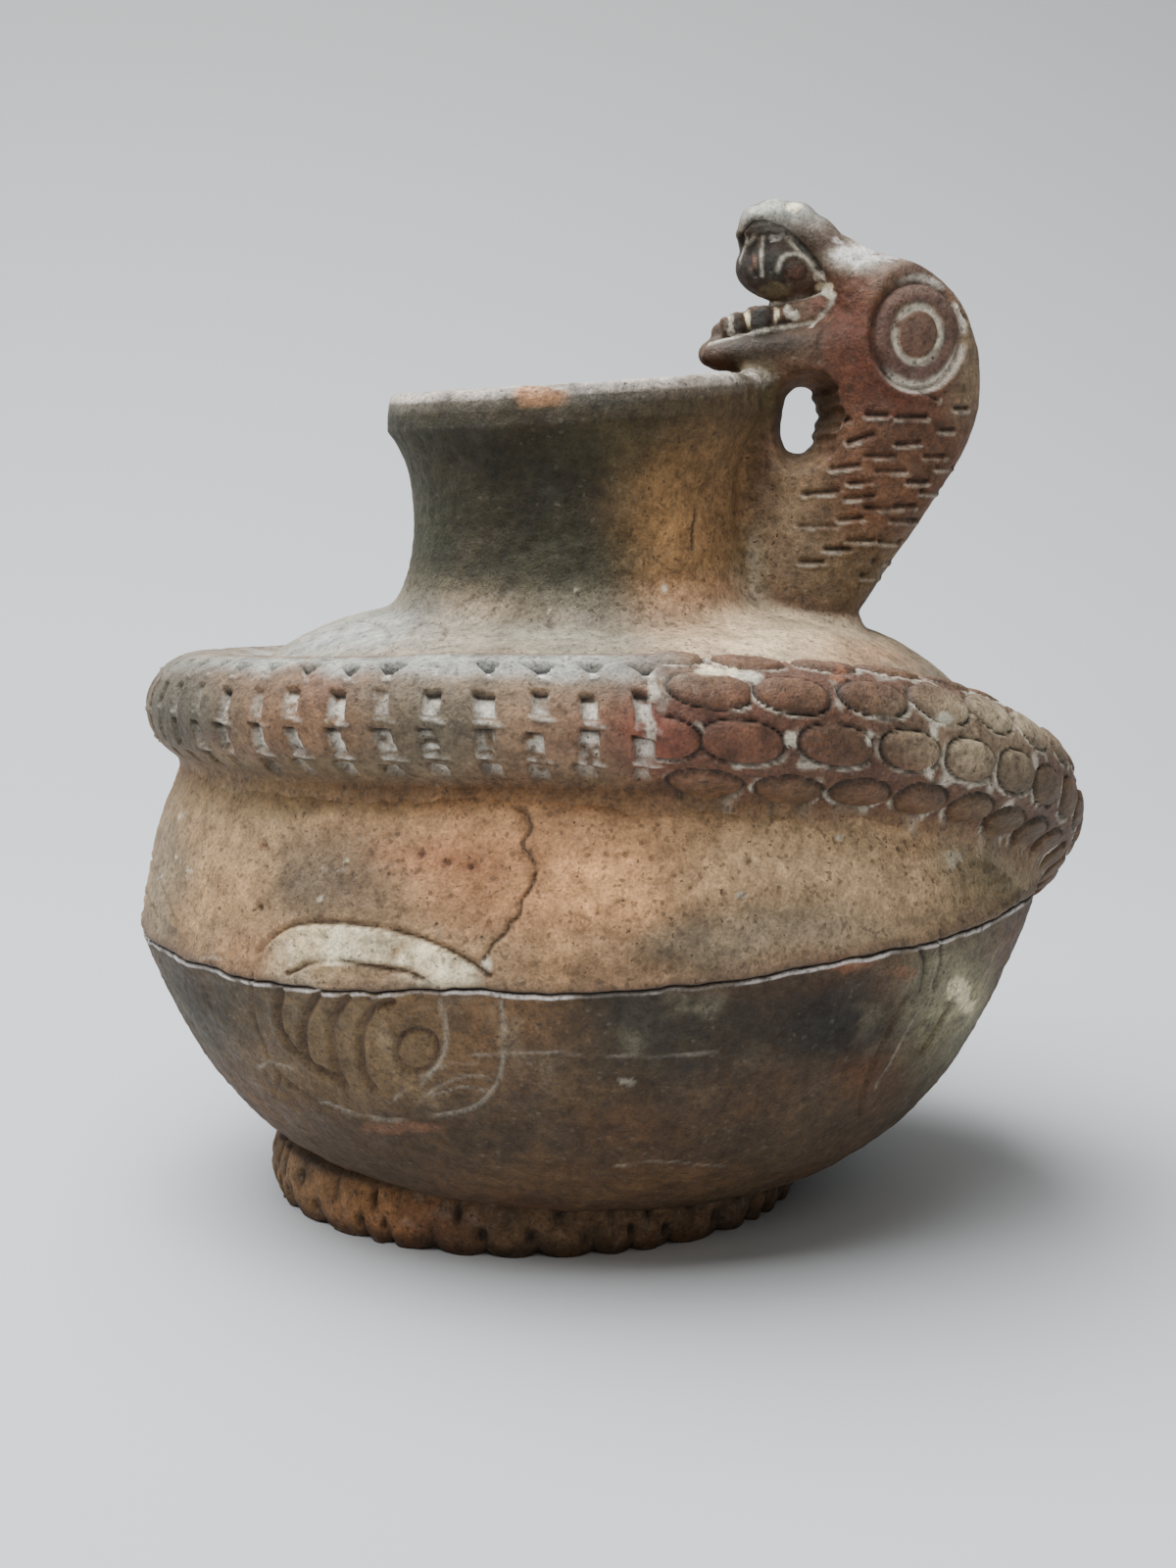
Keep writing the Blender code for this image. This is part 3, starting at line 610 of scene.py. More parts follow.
def off_line(points, line, reach):
    """Distance of points from a line in space, where it is less than a reach."""
    distance = np.full(len(points), 10 * reach)
    near = np.all((points > line.min(axis=0) - reach) & (points < line.max(axis=0) + reach), axis=1)
    index = np.nonzero(near)[0]
    for start, end in zip(line[:-1], line[1:]):
        if len(index) == 0:
            break
        away = points[index] - start
        along = end - start
        t = np.clip(away @ along / max(along @ along, 1e-9), 0, 1)
        gap = np.linalg.norm(away - t[:, None] * along, axis=1)
        distance[index] = np.minimum(distance[index], gap)
    return distance


def groove(distance, width, depth):
    """A cut with a low burr along each side."""
    burr = bell(distance, 0.8 * width, 2.1 * width)
    return -depth * bell(distance, width) + 0.22 * depth * burr


class WallMarks:
    """Lines on the jar in space, worked out once from the picture's pixels."""

    def __init__(self):
        motif = CRESCENT + OVAL + [(CUT, ring_pixels(*OVAL_CENTRE, OVAL_RING))]
        self.carved = [(style, on_wall(smooth_line(line))) for style, line in motif]
        turned = []
        for degrees in BACK_OVAL_AZIMUTHS:
            turned += self.turned_copy(math.radians(degrees) - self.oval_azimuth())
        self.carved += turned
        others = SECOND_OVAL + SCRATCHES
        self.carved += [(style, on_wall(smooth_line(line))) for style, line in others]
        self.cracks = [on_wall(self.crooked(line, k)) for k, line in enumerate(CRACKS)]
        self.pits = on_wall([(x, y) for x, y, _ in PITS])

    def oval_azimuth(self):
        middle = on_wall([OVAL_CENTRE])[0]
        return math.atan2(middle[1], middle[0])

    def turned_copy(self, turn):
        """The same motif elsewhere on the jar, turned round its axis."""
        c, s = math.cos(turn), math.sin(turn)
        turning = np.array([[c, s, 0], [-s, c, 0], [0, 0, 1]])
        return [(style, line @ turning) for style, line in self.carved]

    @staticmethod
    def crooked(line, seed):
        line = smooth_line(line, 4.0)
        place = np.column_stack([line, np.full(len(line), seed * 37.0)])
        line[:, 0] += 3.0 * noise(place, 11.0, 300) + 1.5 * noise(place, 5.0, 301)
        line[:, 1] += 1.5 * noise(place, 9.0, 302)
        return line


MARKS = WallMarks()


def slimmed(points):
    """How far the belly is drawn in about its widest line, to keep its relief within its size."""
    above = points[:, 2] - seam_height(np.arctan2(points[:, 1], points[:, 0]))
    return 0.75 * np.where(above > 0, ramp(above, 40, 5), ramp(points[:, 2], 20, 60))


def wall_relief(points):
    """How far the jar's surface stands off its plain form, and the colours of its marks, with
    painted shade in the cuts, cracks and pits.
    """
    relief = 0.40 * layered(points, 16.0, 11) + 0.20 * layered(points, 4.0, 21)
    relief += 0.13 * noise(points * np.array([1, 1, 2.2]), 2.0, 31)
    relief -= 0.7 * pits(points, 9.0, 41, 0.22) ** 1.5 * ramp(noise(points, 30.0, 42), -0.2, 0.5)
    relief -= 0.35 * pits(points, 3.2, 43, 0.16)
    relief -= slimmed(points)
    stains_and_shade = []
    wear = ramp(noise(points, 5.0, 97), -0.9, 0.1)
    for (width, depth, colour, share), line in MARKS.carved:
        distance = off_line(points, line, MARK_REACH)
        if distance.min() >= MARK_REACH:
            continue
        relief += groove(distance, width, depth) * (0.6 + 0.4 * wear)
        stains_and_shade.append((colour, share * bell(distance, 1.1 * width) * wear))
    crack = np.zeros(len(points))
    for line in MARKS.cracks:
        distance = off_line(points, line, 3.0)
        relief -= 0.9 * bell(distance, 0.40)
        crack = np.maximum(crack, bell(distance, 0.42))
    for middle, (_, _, size) in zip(MARKS.pits, PITS):
        hole = bell(np.linalg.norm(points - middle, axis=1), 0.16 * size)
        relief -= 0.24 * size * hole
        crack = np.maximum(crack, 0.75 * hole)
    # Painted shade: black in the cracks and pits.
    stains_and_shade.append((BLACK, 0.9 * crack))
    relief += handling(points)
    return relief, stains_and_shade


def handling(points):
    """Dents and facets left by the potter's fingers."""
    dents = noise(points * np.array([1, 1, 1.7]), 24.0, 51) * ramp(points[:, 2], 60, 80)
    return 0.35 * dents + 0.18 * noise(points * np.array([1, 1, 3.0]), 9.0, 52)


# Making meshes

BOX_LOW = np.array(LOW) / MM - AXIS
BOX_HIGH = np.array(HIGH) / MM - AXIS
BOX_EASE = 0.6
BOX_MARGIN = 0.05


def kept_inside(points):
    """Eases the outermost relief back within the size of the solid, above the floor."""
    over = np.maximum(points - (BOX_HIGH - BOX_EASE - BOX_MARGIN), 0)
    under = np.maximum(BOX_LOW + BOX_EASE + BOX_MARGIN - points, 0) * np.array([1, 1, 0])
    return points - over + BOX_EASE * (1 - np.exp(-over / BOX_EASE)) \
        + under - BOX_EASE * (1 - np.exp(-under / BOX_EASE))


def placed(name, data):
    """Puts a mesh, a lamp or a camera into the scene."""
    thing = bpy.data.objects.new(name, data)
    bpy.context.scene.collection.objects.link(thing)
    return thing


def make_mesh(name, points, tint, dry, quads, tris=None, flat=None):
    """A piece from points in millimetres, with its colours as attributes of the points."""
    tris = np.zeros((0, 3), dtype=np.int64) if tris is None else tris
    corners = np.concatenate([quads.ravel(), tris.ravel()]).astype(np.int32)
    sizes = np.concatenate([np.full(len(quads), 4), np.full(len(tris), 3)]).astype(np.int32)
    smooth = np.ones(len(sizes), dtype=bool)
    if flat is not None:
        smooth[flat] = False
    points = kept_inside(points)
    mesh = bpy.data.meshes.new(name)
    mesh.vertices.add(len(points))
    mesh.vertices.foreach_set("co", ((points + AXIS) * MM).astype(np.float32).ravel())
    mesh.loops.add(len(corners))
    mesh.loops.foreach_set("vertex_index", corners)
    mesh.polygons.add(len(sizes))
    mesh.polygons.foreach_set("loop_start", running(sizes[:-1]).astype(np.int32))
    mesh.polygons.foreach_set("use_smooth", smooth)
    mesh.update(calc_edges=True)
    colours = mesh.attributes.new("tint", "FLOAT_COLOR", "POINT")
    rgba = np.column_stack([tint, np.ones(len(points))]).astype(np.float32)
    colours.data.foreach_set("color", rgba.ravel())
    dust = mesh.attributes.new("dryness", "FLOAT", "POINT")
    dust.data.foreach_set("value", dry.astype(np.float32))
    piece = placed(name, mesh)
    mesh.materials.append(CLAY)
    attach(piece, "root")
    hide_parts(VESSEL)


def grid_quads(rows, columns, closed_rows=False):
    """Faces of a grid of points whose columns go all the way round."""
    last = rows if closed_rows else rows - 1
    i, j = np.meshgrid(np.arange(last), np.arange(columns), indexing="ij")
    after = (i + 1) % rows
    beside = (j + 1) % columns
    quads = np.stack([i * columns + j, i * columns + beside, after * columns + beside,
                      after * columns + j], axis=-1)
    return quads.reshape(-1, 4)


def cap(row, columns, centre, downward):
    """A fan of triangles that closes the first or last row of a grid."""
    j = np.arange(columns)
    beside = (j + 1) % columns
    first, second = (beside, j) if downward else (j, beside)
    start = row * columns
    return np.column_stack([start + first, start + second, np.full(columns, centre)])


def caps(rows, columns, downward):
    """Fans on both ends of a grid, whose middles are the two points after its own."""
    count = rows * columns
    return np.concatenate([cap(0, columns, count, downward),
                           cap(rows - 1, columns, count + 1, not downward)])


def with_ends(points, tint, dry, ends):
    """Adds the middles of both ends, coloured like the first and the last point."""
    return (np.concatenate([points, ends]), np.concatenate([tint, tint[:1], tint[-1:]]),
            np.concatenate([dry, dry[:1], dry[-1:]]))


def normals_of(points):
    """Directions out of a grid of points, rows going up and columns going round."""
    up = np.gradient(points, axis=0)
    wide = np.concatenate([points[:, -1:], points, points[:, :1]], axis=1)
    around = 0.5 * (wide[:, 2:] - wide[:, :-2])
    return unit(np.cross(around, up))


def spread_azimuths(front_step, back_step):
    """Azimuths round the jar, closer together on the side that the picture shows."""
    fine = np.linspace(0, 2 * math.pi, 4001)
    away = apart(np.degrees(fine), PICTURE_AZIMUTH)
    step = front_step + (back_step - front_step) * ramp(away, SHOWN_TO, HIDDEN_FROM)
    count = running(BELLY_RADIUS * np.diff(fine) / step[:-1])
    total = int(round(count[-1]))
    return np.interp(np.arange(total) * count[-1] / total, count, fine)


# Laying colours

def mixed(base, colour, share):
    return base + (colour - base) * np.clip(share, 0, 1)[:, None]


def clouds(points, colours, size, seed, hardness=3.2):
    """A soft patchwork of colours."""
    weights = [np.exp(hardness * layered(points, size, seed + 7 * k)) for k in range(len(colours))]
    total = sum(weights)
    return sum(w[:, None] * c for w, c in zip(weights, colours)) / total[:, None]


def seen(points, outward):
    """How squarely each point faces the camera, from 0 to 1."""
    return ramp((outward * unit(CAMERA_PLACE - points)).sum(axis=1), -0.05, 0.22)


def painted(points, outward, tint, patches, softness=16.0):
    """Lays soft patches of colour, placed by the picture's pixels, on what the picture shows."""
    facing = seen(points, outward)
    x, y = pixels_of(points)
    warp_x = softness * layered(points, 14.0, 61)
    warp_y = softness * layered(points, 14.0, 71)
    for px, py, wide, high, colour, share in patches:
        fit = ((x + warp_x - px) / wide) ** 2 + ((y + warp_y - py) / high) ** 2
        tint = mixed(tint, colour, share * facing * np.exp(-(fit**1.5)))
    return tint


def dotted(points, outward, tint, spots):
    """Chips, flecks and deposits with ragged edges, placed by the picture's pixels."""
    facing = seen(points, outward)
    x, y = pixels_of(points)
    x = x + 3.0 * noise(points, 1.5, 63) + 2.0 * noise(points, 4.0, 64)
    y = y + 3.0 * noise(points, 1.5, 73) + 2.0 * noise(points, 4.0, 74)
    for px, py, wide, high, colour, share in spots:
        fit = np.hypot((x - px) / wide, (y - py) / high)
        tint = mixed(tint, colour, share * facing * ramp(fit, 1.25, 0.75))
    return tint


def weathered(points, tint):
    """Mottling, wiping streaks and dust."""
    mottle = 1 + 0.30 * layered(points, 5.0, 81) + 0.16 * noise(points, 1.5, 91)
    streaks = noise(points * np.array([0.3, 0.3, 2.0]), 3.0, 93)
    tint = tint * (mottle + 0.10 * streaks)[:, None]
    tint = mixed(tint, DUST, 0.06 * ramp(layered(points, 7.0, 95), 0.25, 0.8))
    flecks = ramp(noise(points, 1.1, 96), 0.84, 0.92) * ramp(noise(points, 22.0, 94), 0.0, 0.8)
    return mixed(tint, 1.6 * tint, 0.5 * flecks)


# Patches: where they are in the picture, their half sizes in its pixels, their colour and how
# strong that is
BOWL_PATCHES = [
    (200, 1040, 64, 64, (0.095, 0.072, 0.048), 0.9),
    (385, 1065, 130, 75, (0.36, 0.225, 0.120), 0.75),
    (540, 1045, 60, 36, ORANGE, 0.7),
    (700, 1050, 170, 55, SOOT, 0.80),
    (855, 1045, 60, 50, BLACK, 0.8),
    (885, 1095, 40, 25, RUST, 0.5),
    (975, 1040, 50, 70, (0.72, 0.68, 0.56), 0.80),
    (985, 1018, 16, 22, CREAM, 0.7),
    (960, 1090, 45, 50, OLIVE, 0.5),
    (150, 1030, 60, 60, SOOT, 0.55),
    (760, 1150, 190, 40, (0.155, 0.092, 0.058), 0.6),
    (640, 1150, 60, 22, RUST, 0.25),
    (400, 1165, 190, 40, (0.120, 0.068, 0.036), 0.85),
    (650, 1205, 190, 24, (0.26, 0.13, 0.060), 0.65),
]
BELLY_PATCHES = [
    # These two bands under the coil are painted shade, where the coil hangs over the belly.
    (330, 812, 180, 24, OLIVE, 0.65),
    (560, 808, 340, 22, (0.085, 0.034, 0.006), 0.97),
    (220, 890, 90, 75, (0.36, 0.235, 0.135), 0.75),
    (340, 890, 68, 48, (0.145, 0.105, 0.075), 0.85),
    (300, 915, 40, 26, SOOT, 0.45),
    (235, 905, 34, 34, (0.46, 0.27, 0.145), 0.5),
    (560, 885, 150, 75, (0.44, 0.215, 0.105), 0.85),
    (615, 905, 62, 38, (0.86, 0.46, 0.23), 0.80),
    (480, 910, 60, 40, (0.36, 0.170, 0.085), 0.5),
    (700, 965, 76, 32, SOOT, 0.70),
    (640, 985, 60, 14, DARK_BROWN, 0.4),
    (850, 890, 140, 65, (0.56, 0.39, 0.250), 0.80),
    (960, 930, 70, 50, (0.33, 0.23, 0.150), 0.6),
    (760, 930, 60, 30, (0.22, 0.145, 0.090), 0.5),
    (975, 875, 30, 26, PALE, 0.25),
    (1020, 890, 50, 40, OLIVE, 0.7),
    (810, 950, 120, 25, GREY, 0.6),
    (450, 875, 70, 20, (0.30, 0.115, 0.055), 0.5),
    (160, 960, 40, 25, SOOT, 0.55),
    (160, 880, 24, 80, (0.20, 0.170, 0.130), 0.75),
    (400, 990, 300, 10, BROWN, 0.5),
    (860, 980, 160, 10, DARK_BROWN, 0.45),
]
SHOULDER_PATCHES = [
    # Painted highlight: bluish grey on the top of the left shoulder.
    (320, 640, 120, 30, (0.36, 0.37, 0.36), 0.9),
    (560, 650, 120, 20, (0.30, 0.26, 0.20), 0.8),
    (790, 650, 120, 28, (0.70, 0.52, 0.34), 0.9),
    (880, 670, 60, 20, ORANGE, 0.45),
    (428, 520, 40, 110, (0.085, 0.080, 0.055), 0.85),
    (470, 440, 60, 40, SOOT, 0.8),
    (545, 500, 88, 92, (0.034, 0.033, 0.027), 0.80),
    (600, 590, 120, 40, (0.120, 0.108, 0.080), 0.8),
    (705, 540, 66, 90, (0.80, 0.43, 0.24), 0.82),
    (752, 500, 46, 95, (0.46, 0.26, 0.17), 0.80),
    (640, 440, 60, 26, (0.20, 0.150, 0.095), 0.5),
    (600, 420, 190, 14, DARK_BROWN, 0.5),
    (772, 578, 22, 40, PALE, 0.25),
]

# Spots on the jar, in the same terms
JAR_SPOTS = [
    (759, 914, 4, 3, PALE, 0.5), (855, 855, 3, 3, PALE, 0.6), (354, 878, 3, 3, CREAM, 0.6),
    (324, 917, 3, 3, PALE, 0.6), (976, 876, 9, 8, PALE, 0.4),
    (161, 895, 2, 3, PALE, 0.5), (177, 874, 2, 4, PALE, 0.5), (190, 886, 2, 3, PALE, 0.5),
    (184, 831, 2, 3, PALE, 0.4), (561, 623, 3, 2, PALE, 0.6), (588, 602, 2, 2, PALE, 0.6),
    (678, 599, 3, 3, PALE, 0.8), (981, 1012, 9, 13, CREAM, 0.75), (991, 1028, 7, 9, CREAM, 0.7),
    (549, 402, 26, 8, ORANGE, 0.8), (769, 560, 5, 34, PALE, 0.2), (640, 1105, 10, 4, DUST, 0.5),
    (268, 864, 9, 3, RUST, 0.5), (456, 880, 8, 3, RUST, 0.6), (430, 872, 8, 3, RUST, 0.6),
    (478, 884, 9, 3, RUST, 0.5), (495, 985, 6, 10, PALE, 0.5), (410, 1152, 40, 6, RUST, 0.3),
    (862, 985, 30, 10, RUST, 0.55), (925, 995, 14, 8, RUST, 0.4), (205, 978, 20, 2, PALE, 0.25),
]


def belly_tint(points, outward, low):
    """Ground colours of the jar below the shoulder."""
    warm = clouds(points, [TAN, ORANGE, BROWN, GREY, TAN], 34.0, 101)
    dark = clouds(points, [BROWN, SOOT, DARK_BROWN, RUST, GREY], 30.0, 141)
    tint = painted(points, outward, dark if low else warm, BOWL_PATCHES if low else BELLY_PATCHES)
    return tint * (BOWL_TONE if low else BELLY_TONE)


def shoulder_tint(points, outward):
    """Ground colours of the shoulder and of the jar's neck."""
    tint = clouds(points, [GREY, OLIVE, BROWN, TAN, GREY], 26.0, 171)
    neck = clouds(points, [SOOT, OLIVE, BROWN, SOOT], 22.0, 191)
    on_neck = ramp(points[:, 2], 132, 142)
    tint = painted(points, outward, mixed(tint, neck, on_neck), SHOULDER_PATCHES)
    return tint * (SHOULDER_TONE + (NECK_TONE - SHOULDER_TONE) * on_neck[:, None])


def ground(points, outward, bowl_too=True):
    """Colours of whichever part of the jar is nearest."""
    azimuth = np.arctan2(points[:, 1], points[:, 0])
    seam = seam_height(azimuth)
    share = (points[:, 2] - seam) / (DOME_TOP - seam)
    tint = shoulder_tint(points, outward)
    under_coil = ramp(share - split_share(azimuth), 0.12, -0.12)
    tint = mixed(tint, belly_tint(points, outward, False), under_coil)
    if not bowl_too:
        return tint
    under_seam = ramp(points[:, 2] - seam, 1.0, -1.0)
    return mixed(tint, belly_tint(points, outward, True), under_seam)


def lay_stains_and_painted_light(tint, stains_and_shade, strength=1.0):
    """Lays colours of marks, stains, painted shade and painted highlights, each a colour and its
    share at every point.
    """
    for colour, share in stains_and_shade:
        tint = mixed(tint, colour, share * strength)
    return tint


def dryness(points, level, swing, size, seed, more=0.0):
    """How dry and dull the clay is at each point."""
    return np.clip(level + swing * layered(points, size, seed) + more, 0.3, 0.95)


def finish_colours(points, outward, tint, stains_and_shade):
    """Mottling, spots and the marks' colours with their painted shade, and how dry each point is.
    """
    tint = dotted(points, outward, weathered(points, tint), JAR_SPOTS)
    return lay_stains_and_painted_light(tint, stains_and_shade), dryness(points, 0.62, 0.12, 9.0, 99)


def flatten(grid):
    return grid.reshape(-1, grid.shape[-1])


def raised(points, relief):
    """Moves a grid of points out along its own normals."""
    out = normals_of(points)
    return points + out * relief.reshape(points.shape[:2])[..., None], out


def azimuth_noise(azimuth, size, seed):
    """Random values that close on themselves round the jar."""
    around = np.column_stack([100 * np.cos(azimuth), 100 * np.sin(azimuth), np.zeros(len(azimuth))])
    return noise(around, size, seed)


def seam_wobble(azimuth):
    """How the joint between the two halves wanders up and down."""
    wobble = 0.9 * azimuth_noise(azimuth, 26.0, 201) + 0.35 * azimuth_noise(azimuth, 7.0, 202)
    return wobble + 0.22 * azimuth_noise(azimuth, 2.6, 203)


def finer(values, axis_share):
    """Puts rows closer together at one end of a grid, by repeating an even spread of shares."""
    rows = np.arange(len(values))
    at = np.interp(axis_share, rows / (len(rows) - 1.0), rows)
    low = np.clip(np.floor(at).astype(int), 0, len(values) - 2)
    part = (at - low)[:, None]
    return values[low] * (1 - part) + values[low + 1] * part


def close_to(end, count, extra):
    """Shares of a grid's rows, with extra rows close to its first (0) or last (1) row."""
    even = np.arange(count) / (count - 1.0)
    band = CROWDED_ROWS / (count - 1.0)
    crowd = np.arange(1, extra) / extra * band
    if end:
        crowd, edge = 1 - crowd, 1 - band
        keep = even[(even < edge) | (even == 1)]
    else:
        edge = band
        keep = even[(even > edge) | (even == 0)]
    return np.unique(np.concatenate([keep, crowd, [edge]]))


def jar_grid(rows, steps, end=None, extra=0):
    """Azimuths, radii and heights of a grid on the jar, with extra rows close to one end."""
    azimuth = spread_azimuths(*steps[:2])
    radius, height = rows(azimuth, steps[2])
    if end is not None:
        shares = close_to(end, len(radius), extra)
        radius, height = finer(radius, shares), finer(height, shares)
    return azimuth, radius, height


def bowl():
    """The lower half, up to the seam and a little way under the upper half's edge."""
    azimuth, radius, height = jar_grid(bowl_rows, BOWL_STEPS, 1, 14)
    seam = seam_height(azimuth)
    wobble = seam_wobble(azimuth)
    share = (height - BOWL_UNDERSIDE) / (seam - BOWL_UNDERSIDE)
    height = height + share**8 * wobble
    points = place(radius, height, azimuth)
    flat_points = flatten(points)
    relief, stains_and_shade = wall_relief(flat_points)
    below = (seam + wobble - height).ravel()
    around = np.tile(azimuth, len(radius))
    broken = azimuth_noise(around, 9.0, 211) + 0.5 * azimuth_noise(around, 2.6, 212)
    broken = ramp(broken, -0.8, 0.1)
    relief += 0.30 * bell(below, 0.55, 1.15) * broken - 1.2 * ramp(below, 0.75, 0.1)
    relief = np.where(height.ravel() < 12, np.minimum(relief, 0.1), relief)
    points, out = raised(points, relief)
    tint = belly_tint(flat_points, flatten(out), True)
    slip = 0.10 * ramp(below, 40, 5) * ramp(layered(flat_points, 8.0, 221), 0.1, 0.7)
    tint = mixed(tint, CREAM, slip)
    tint, dry = finish_colours(flat_points, flatten(out), tint, stains_and_shade)
    # Along the bowl's top edge: a pale line that is pale deposit with painted highlight on the
    # ledge, and black painted shade in the gap under the upper half's overhanging edge.
    line = ramp(below, 1.6, 1.2) * ramp(below, 0.60, 0.85)
    tint = mixed(tint, 0.85 * LILAC, 0.90 * line * (0.15 + 0.85 * broken))
    tint = mixed(tint, BLACK, 0.92 * ramp(below, 0.80, 0.50))
    shell(("bowl", points, tint, dry), azimuth, bowl_lining(azimuth))


def bowl_lining(azimuth):
    """Inside of the lower half, from just above the seam down to the middle of the floor."""
    floor = BOWL_UNDERSIDE + WALL
    seam = seam_height(azimuth)
    shares = np.array([1.02, 0.85, 0.65, 0.45, 0.3, 0.18, 0.09, 0.03, 0.004])[:, None]
    height = floor + shares * (seam - floor)
    return place(lining_radius(1 - shares, BOWL_TURN) + 0 * height, height, azimuth)


def shell(outside, azimuth, lining, closed=True):
    """A piece from a grid for its outside and one for its inside, whose rows go on from the last
    row outside. It is closed with a fan at the axis, or else is a ring."""
    name, points, tint, dry = outside
    inner = flatten(lining)
    inner_tint = weathered(inner, clouds(inner, [BROWN, DARK_BROWN, GREY], 20.0, 401))
    rows = len(points) + len(lining)
    columns = len(azimuth)
    everything = np.concatenate([flatten(points), inner])
    tint = np.concatenate([tint, inner_tint])
    dry = np.concatenate([dry, np.full(len(inner), 0.75)])
    flat = np.arange(columns) + (len(points) - 1) * columns
    tris = None
    if closed:
        ends = np.array([points[0].mean(axis=0), lining[-1].mean(axis=0)])
        everything, tint, dry = with_ends(everything, tint, dry, ends)
        tris = caps(rows, columns, True)
    else:
        flat = np.concatenate([flat, np.arange(columns) + (rows - 1) * columns])
    make_mesh(name, everything, tint, dry, grid_quads(rows, columns, not closed), tris, flat)


def belly():
    """The upper half from the seam to the line under the coil. Its edge overhangs the bowl."""
    azimuth, radius, height = jar_grid(belly_rows, BELLY_STEPS, 0, 12)
    seam = seam_height(azimuth)
    above = height - seam
    height = height + seam_wobble(azimuth) * bell(above, 6.0)
    points = place(radius, height, azimuth)
    flat_points = flatten(points)
    relief, stains_and_shade = wall_relief(flat_points)
    above = above.ravel()
    lift = 0.55 + 0.35 * azimuth_noise(np.tile(azimuth, len(radius)), 12.0, 231)
    relief += lift * bell(above, 1.6, 0.9) - 0.45 * ramp(above, 0.6, 0.0)
    split = split_share(azimuth) + 0 * radius
    share = (points[..., 2] - seam) / (DOME_TOP - seam)
    relief -= 0.5 * ramp((share - split).ravel(), 0.0, 0.012)
    points, out = raised(points, relief)
    tint = ground(flat_points, flatten(out), False)
    slip = crescent_share(flat_points)
    tint = mixed(tint, CREAM, slip)
    golden = slip * ramp(layered(flat_points, 7.0, 243), -0.1, 0.5)
    tint = mixed(tint, (0.72, 0.50, 0.24), 0.6 * golden)
    tint, dry = finish_colours(flat_points, flatten(out), tint, stains_and_shade)
    # Painted shade: black along the overhanging edge at the seam. Above it the clay darkens towards
    # the seam over about 4 mm.
    tint = mixed(tint, BLACK, 0.9 * ramp(above, 0.45, 0.15))
    tint = mixed(tint, DARK_BROWN, 0.7 * ramp(above, 4.2, 0.3))
    shares = np.linspace(1.0, 0.0, 9)[:, None] * (split_share(azimuth) + SPLIT_LAP)
    shell(("belly", points, tint, dry), azimuth, dome_lining(shares, azimuth), False)


def dome_lining(shares, azimuth):
    """Inside of the upper half at shares of the climb from the seam."""
    seam = seam_height(azimuth)
    height = seam + shares * (DOME_TOP - WALL - seam)
    return place(lining_radius(shares, DOME_TURN), height, azimuth)


def crescent_share(points):
    """How thickly cream slip fills the crescent over the seam."""
    x, y = pixels_of(points)
    top = np.interp(x, *np.array(SLIP_EDGE).T)
    inside = ramp(y - top, 0, 5) * ramp(x, 258, 280) * ramp(x, 497, 478) * (points[:, 1] < 0)
    worn = 0.70 + 0.75 * layered(points, 4.0, 241) + 0.40 * noise(points, 1.3, 242)
    worn = worn * ramp(x, 250, 330)
    band = bell(x, 62, 366, 4) * ramp(y, 982, 987)
    return inside * np.clip(worn, 0, 0.95) * (1 - 0.95 * band)


def shoulder():
    """The shoulder above the coil, the jar's neck and its lip, and their inside."""
    azimuth, radius, height = jar_grid(shoulder_rows, SHOULDER_STEPS)
    tilt = RIM_RISE * np.cos(azimuth)
    turn = np.linspace(0, math.pi, 17)[1:, None]
    across = 0.5 * NECK_WALL * np.sign(np.cos(turn)) * np.abs(np.cos(turn)) ** 0.8
    cap_radius = LIP_MIDDLE_RADIUS + across
    cap_height = LIP_MIDDLE + tilt + LIP_HALF_HEIGHT * np.sin(turn) ** 0.9
    keep = height[:, 0] < LIP_MIDDLE + tilt[0] - 0.3
    keep |= np.arange(len(height)) < len(height) - 12
    radius, height = radius[keep], height[keep]
    height = np.minimum(height, LIP_MIDDLE + tilt)
    radius = np.concatenate([radius, cap_radius + 0 * cap_height])
    height = np.concatenate([height, cap_height])
    points = place(radius, height, azimuth)
    flat_points = flatten(points)
    relief, stains_and_shade = wall_relief(flat_points)
    relief = SHOULDER_RELIEF * relief
    lip = ramp(flat_points[:, 2], 168, 178)
    relief -= lip * (0.35 + 0.5 * ramp(layered(flat_points, 7.0, 251), 0.0, 0.7))
    relief += 0.16 * layered(flat_points, 1.8, 254) * ramp(flat_points[:, 2], 132, 140)
    relief += lip * 0.25 * azimuth_noise(np.tile(azimuth, len(radius)), 14.0, 252)
    streaks = np.column_stack([flat_points[:, :2] * 0.25, flat_points[:, 2]])
    relief += 0.12 * noise(streaks, 1.7, 253) * ramp(flat_points[:, 2], 130, 140)
    points, out = raised(points, relief)
    tint = ground(flat_points, flatten(out), False)
    rise = flat_points[:, 2] - np.tile(tilt, len(radius))
    # Painted highlight on the top of the lip, in patches.
    rim_highlight = ramp(rise, 176.6, 178.0)
    tint, dry = finish_colours(flat_points, flatten(out), tint, stains_and_shade)
    patchy = ramp(layered(flat_points, 7.0, 261), -0.7, 0.2)
    tint = mixed(tint, (0.60, 0.52, 0.44), 0.80 * rim_highlight * patchy)
    tint = dotted(flat_points, flatten(out), tint, [(549, 400, 27, 8, ORANGE, 0.85)])
    shell(("shoulder_and_neck", points, tint, dry), azimuth, neck_lining(azimuth, tilt), False)


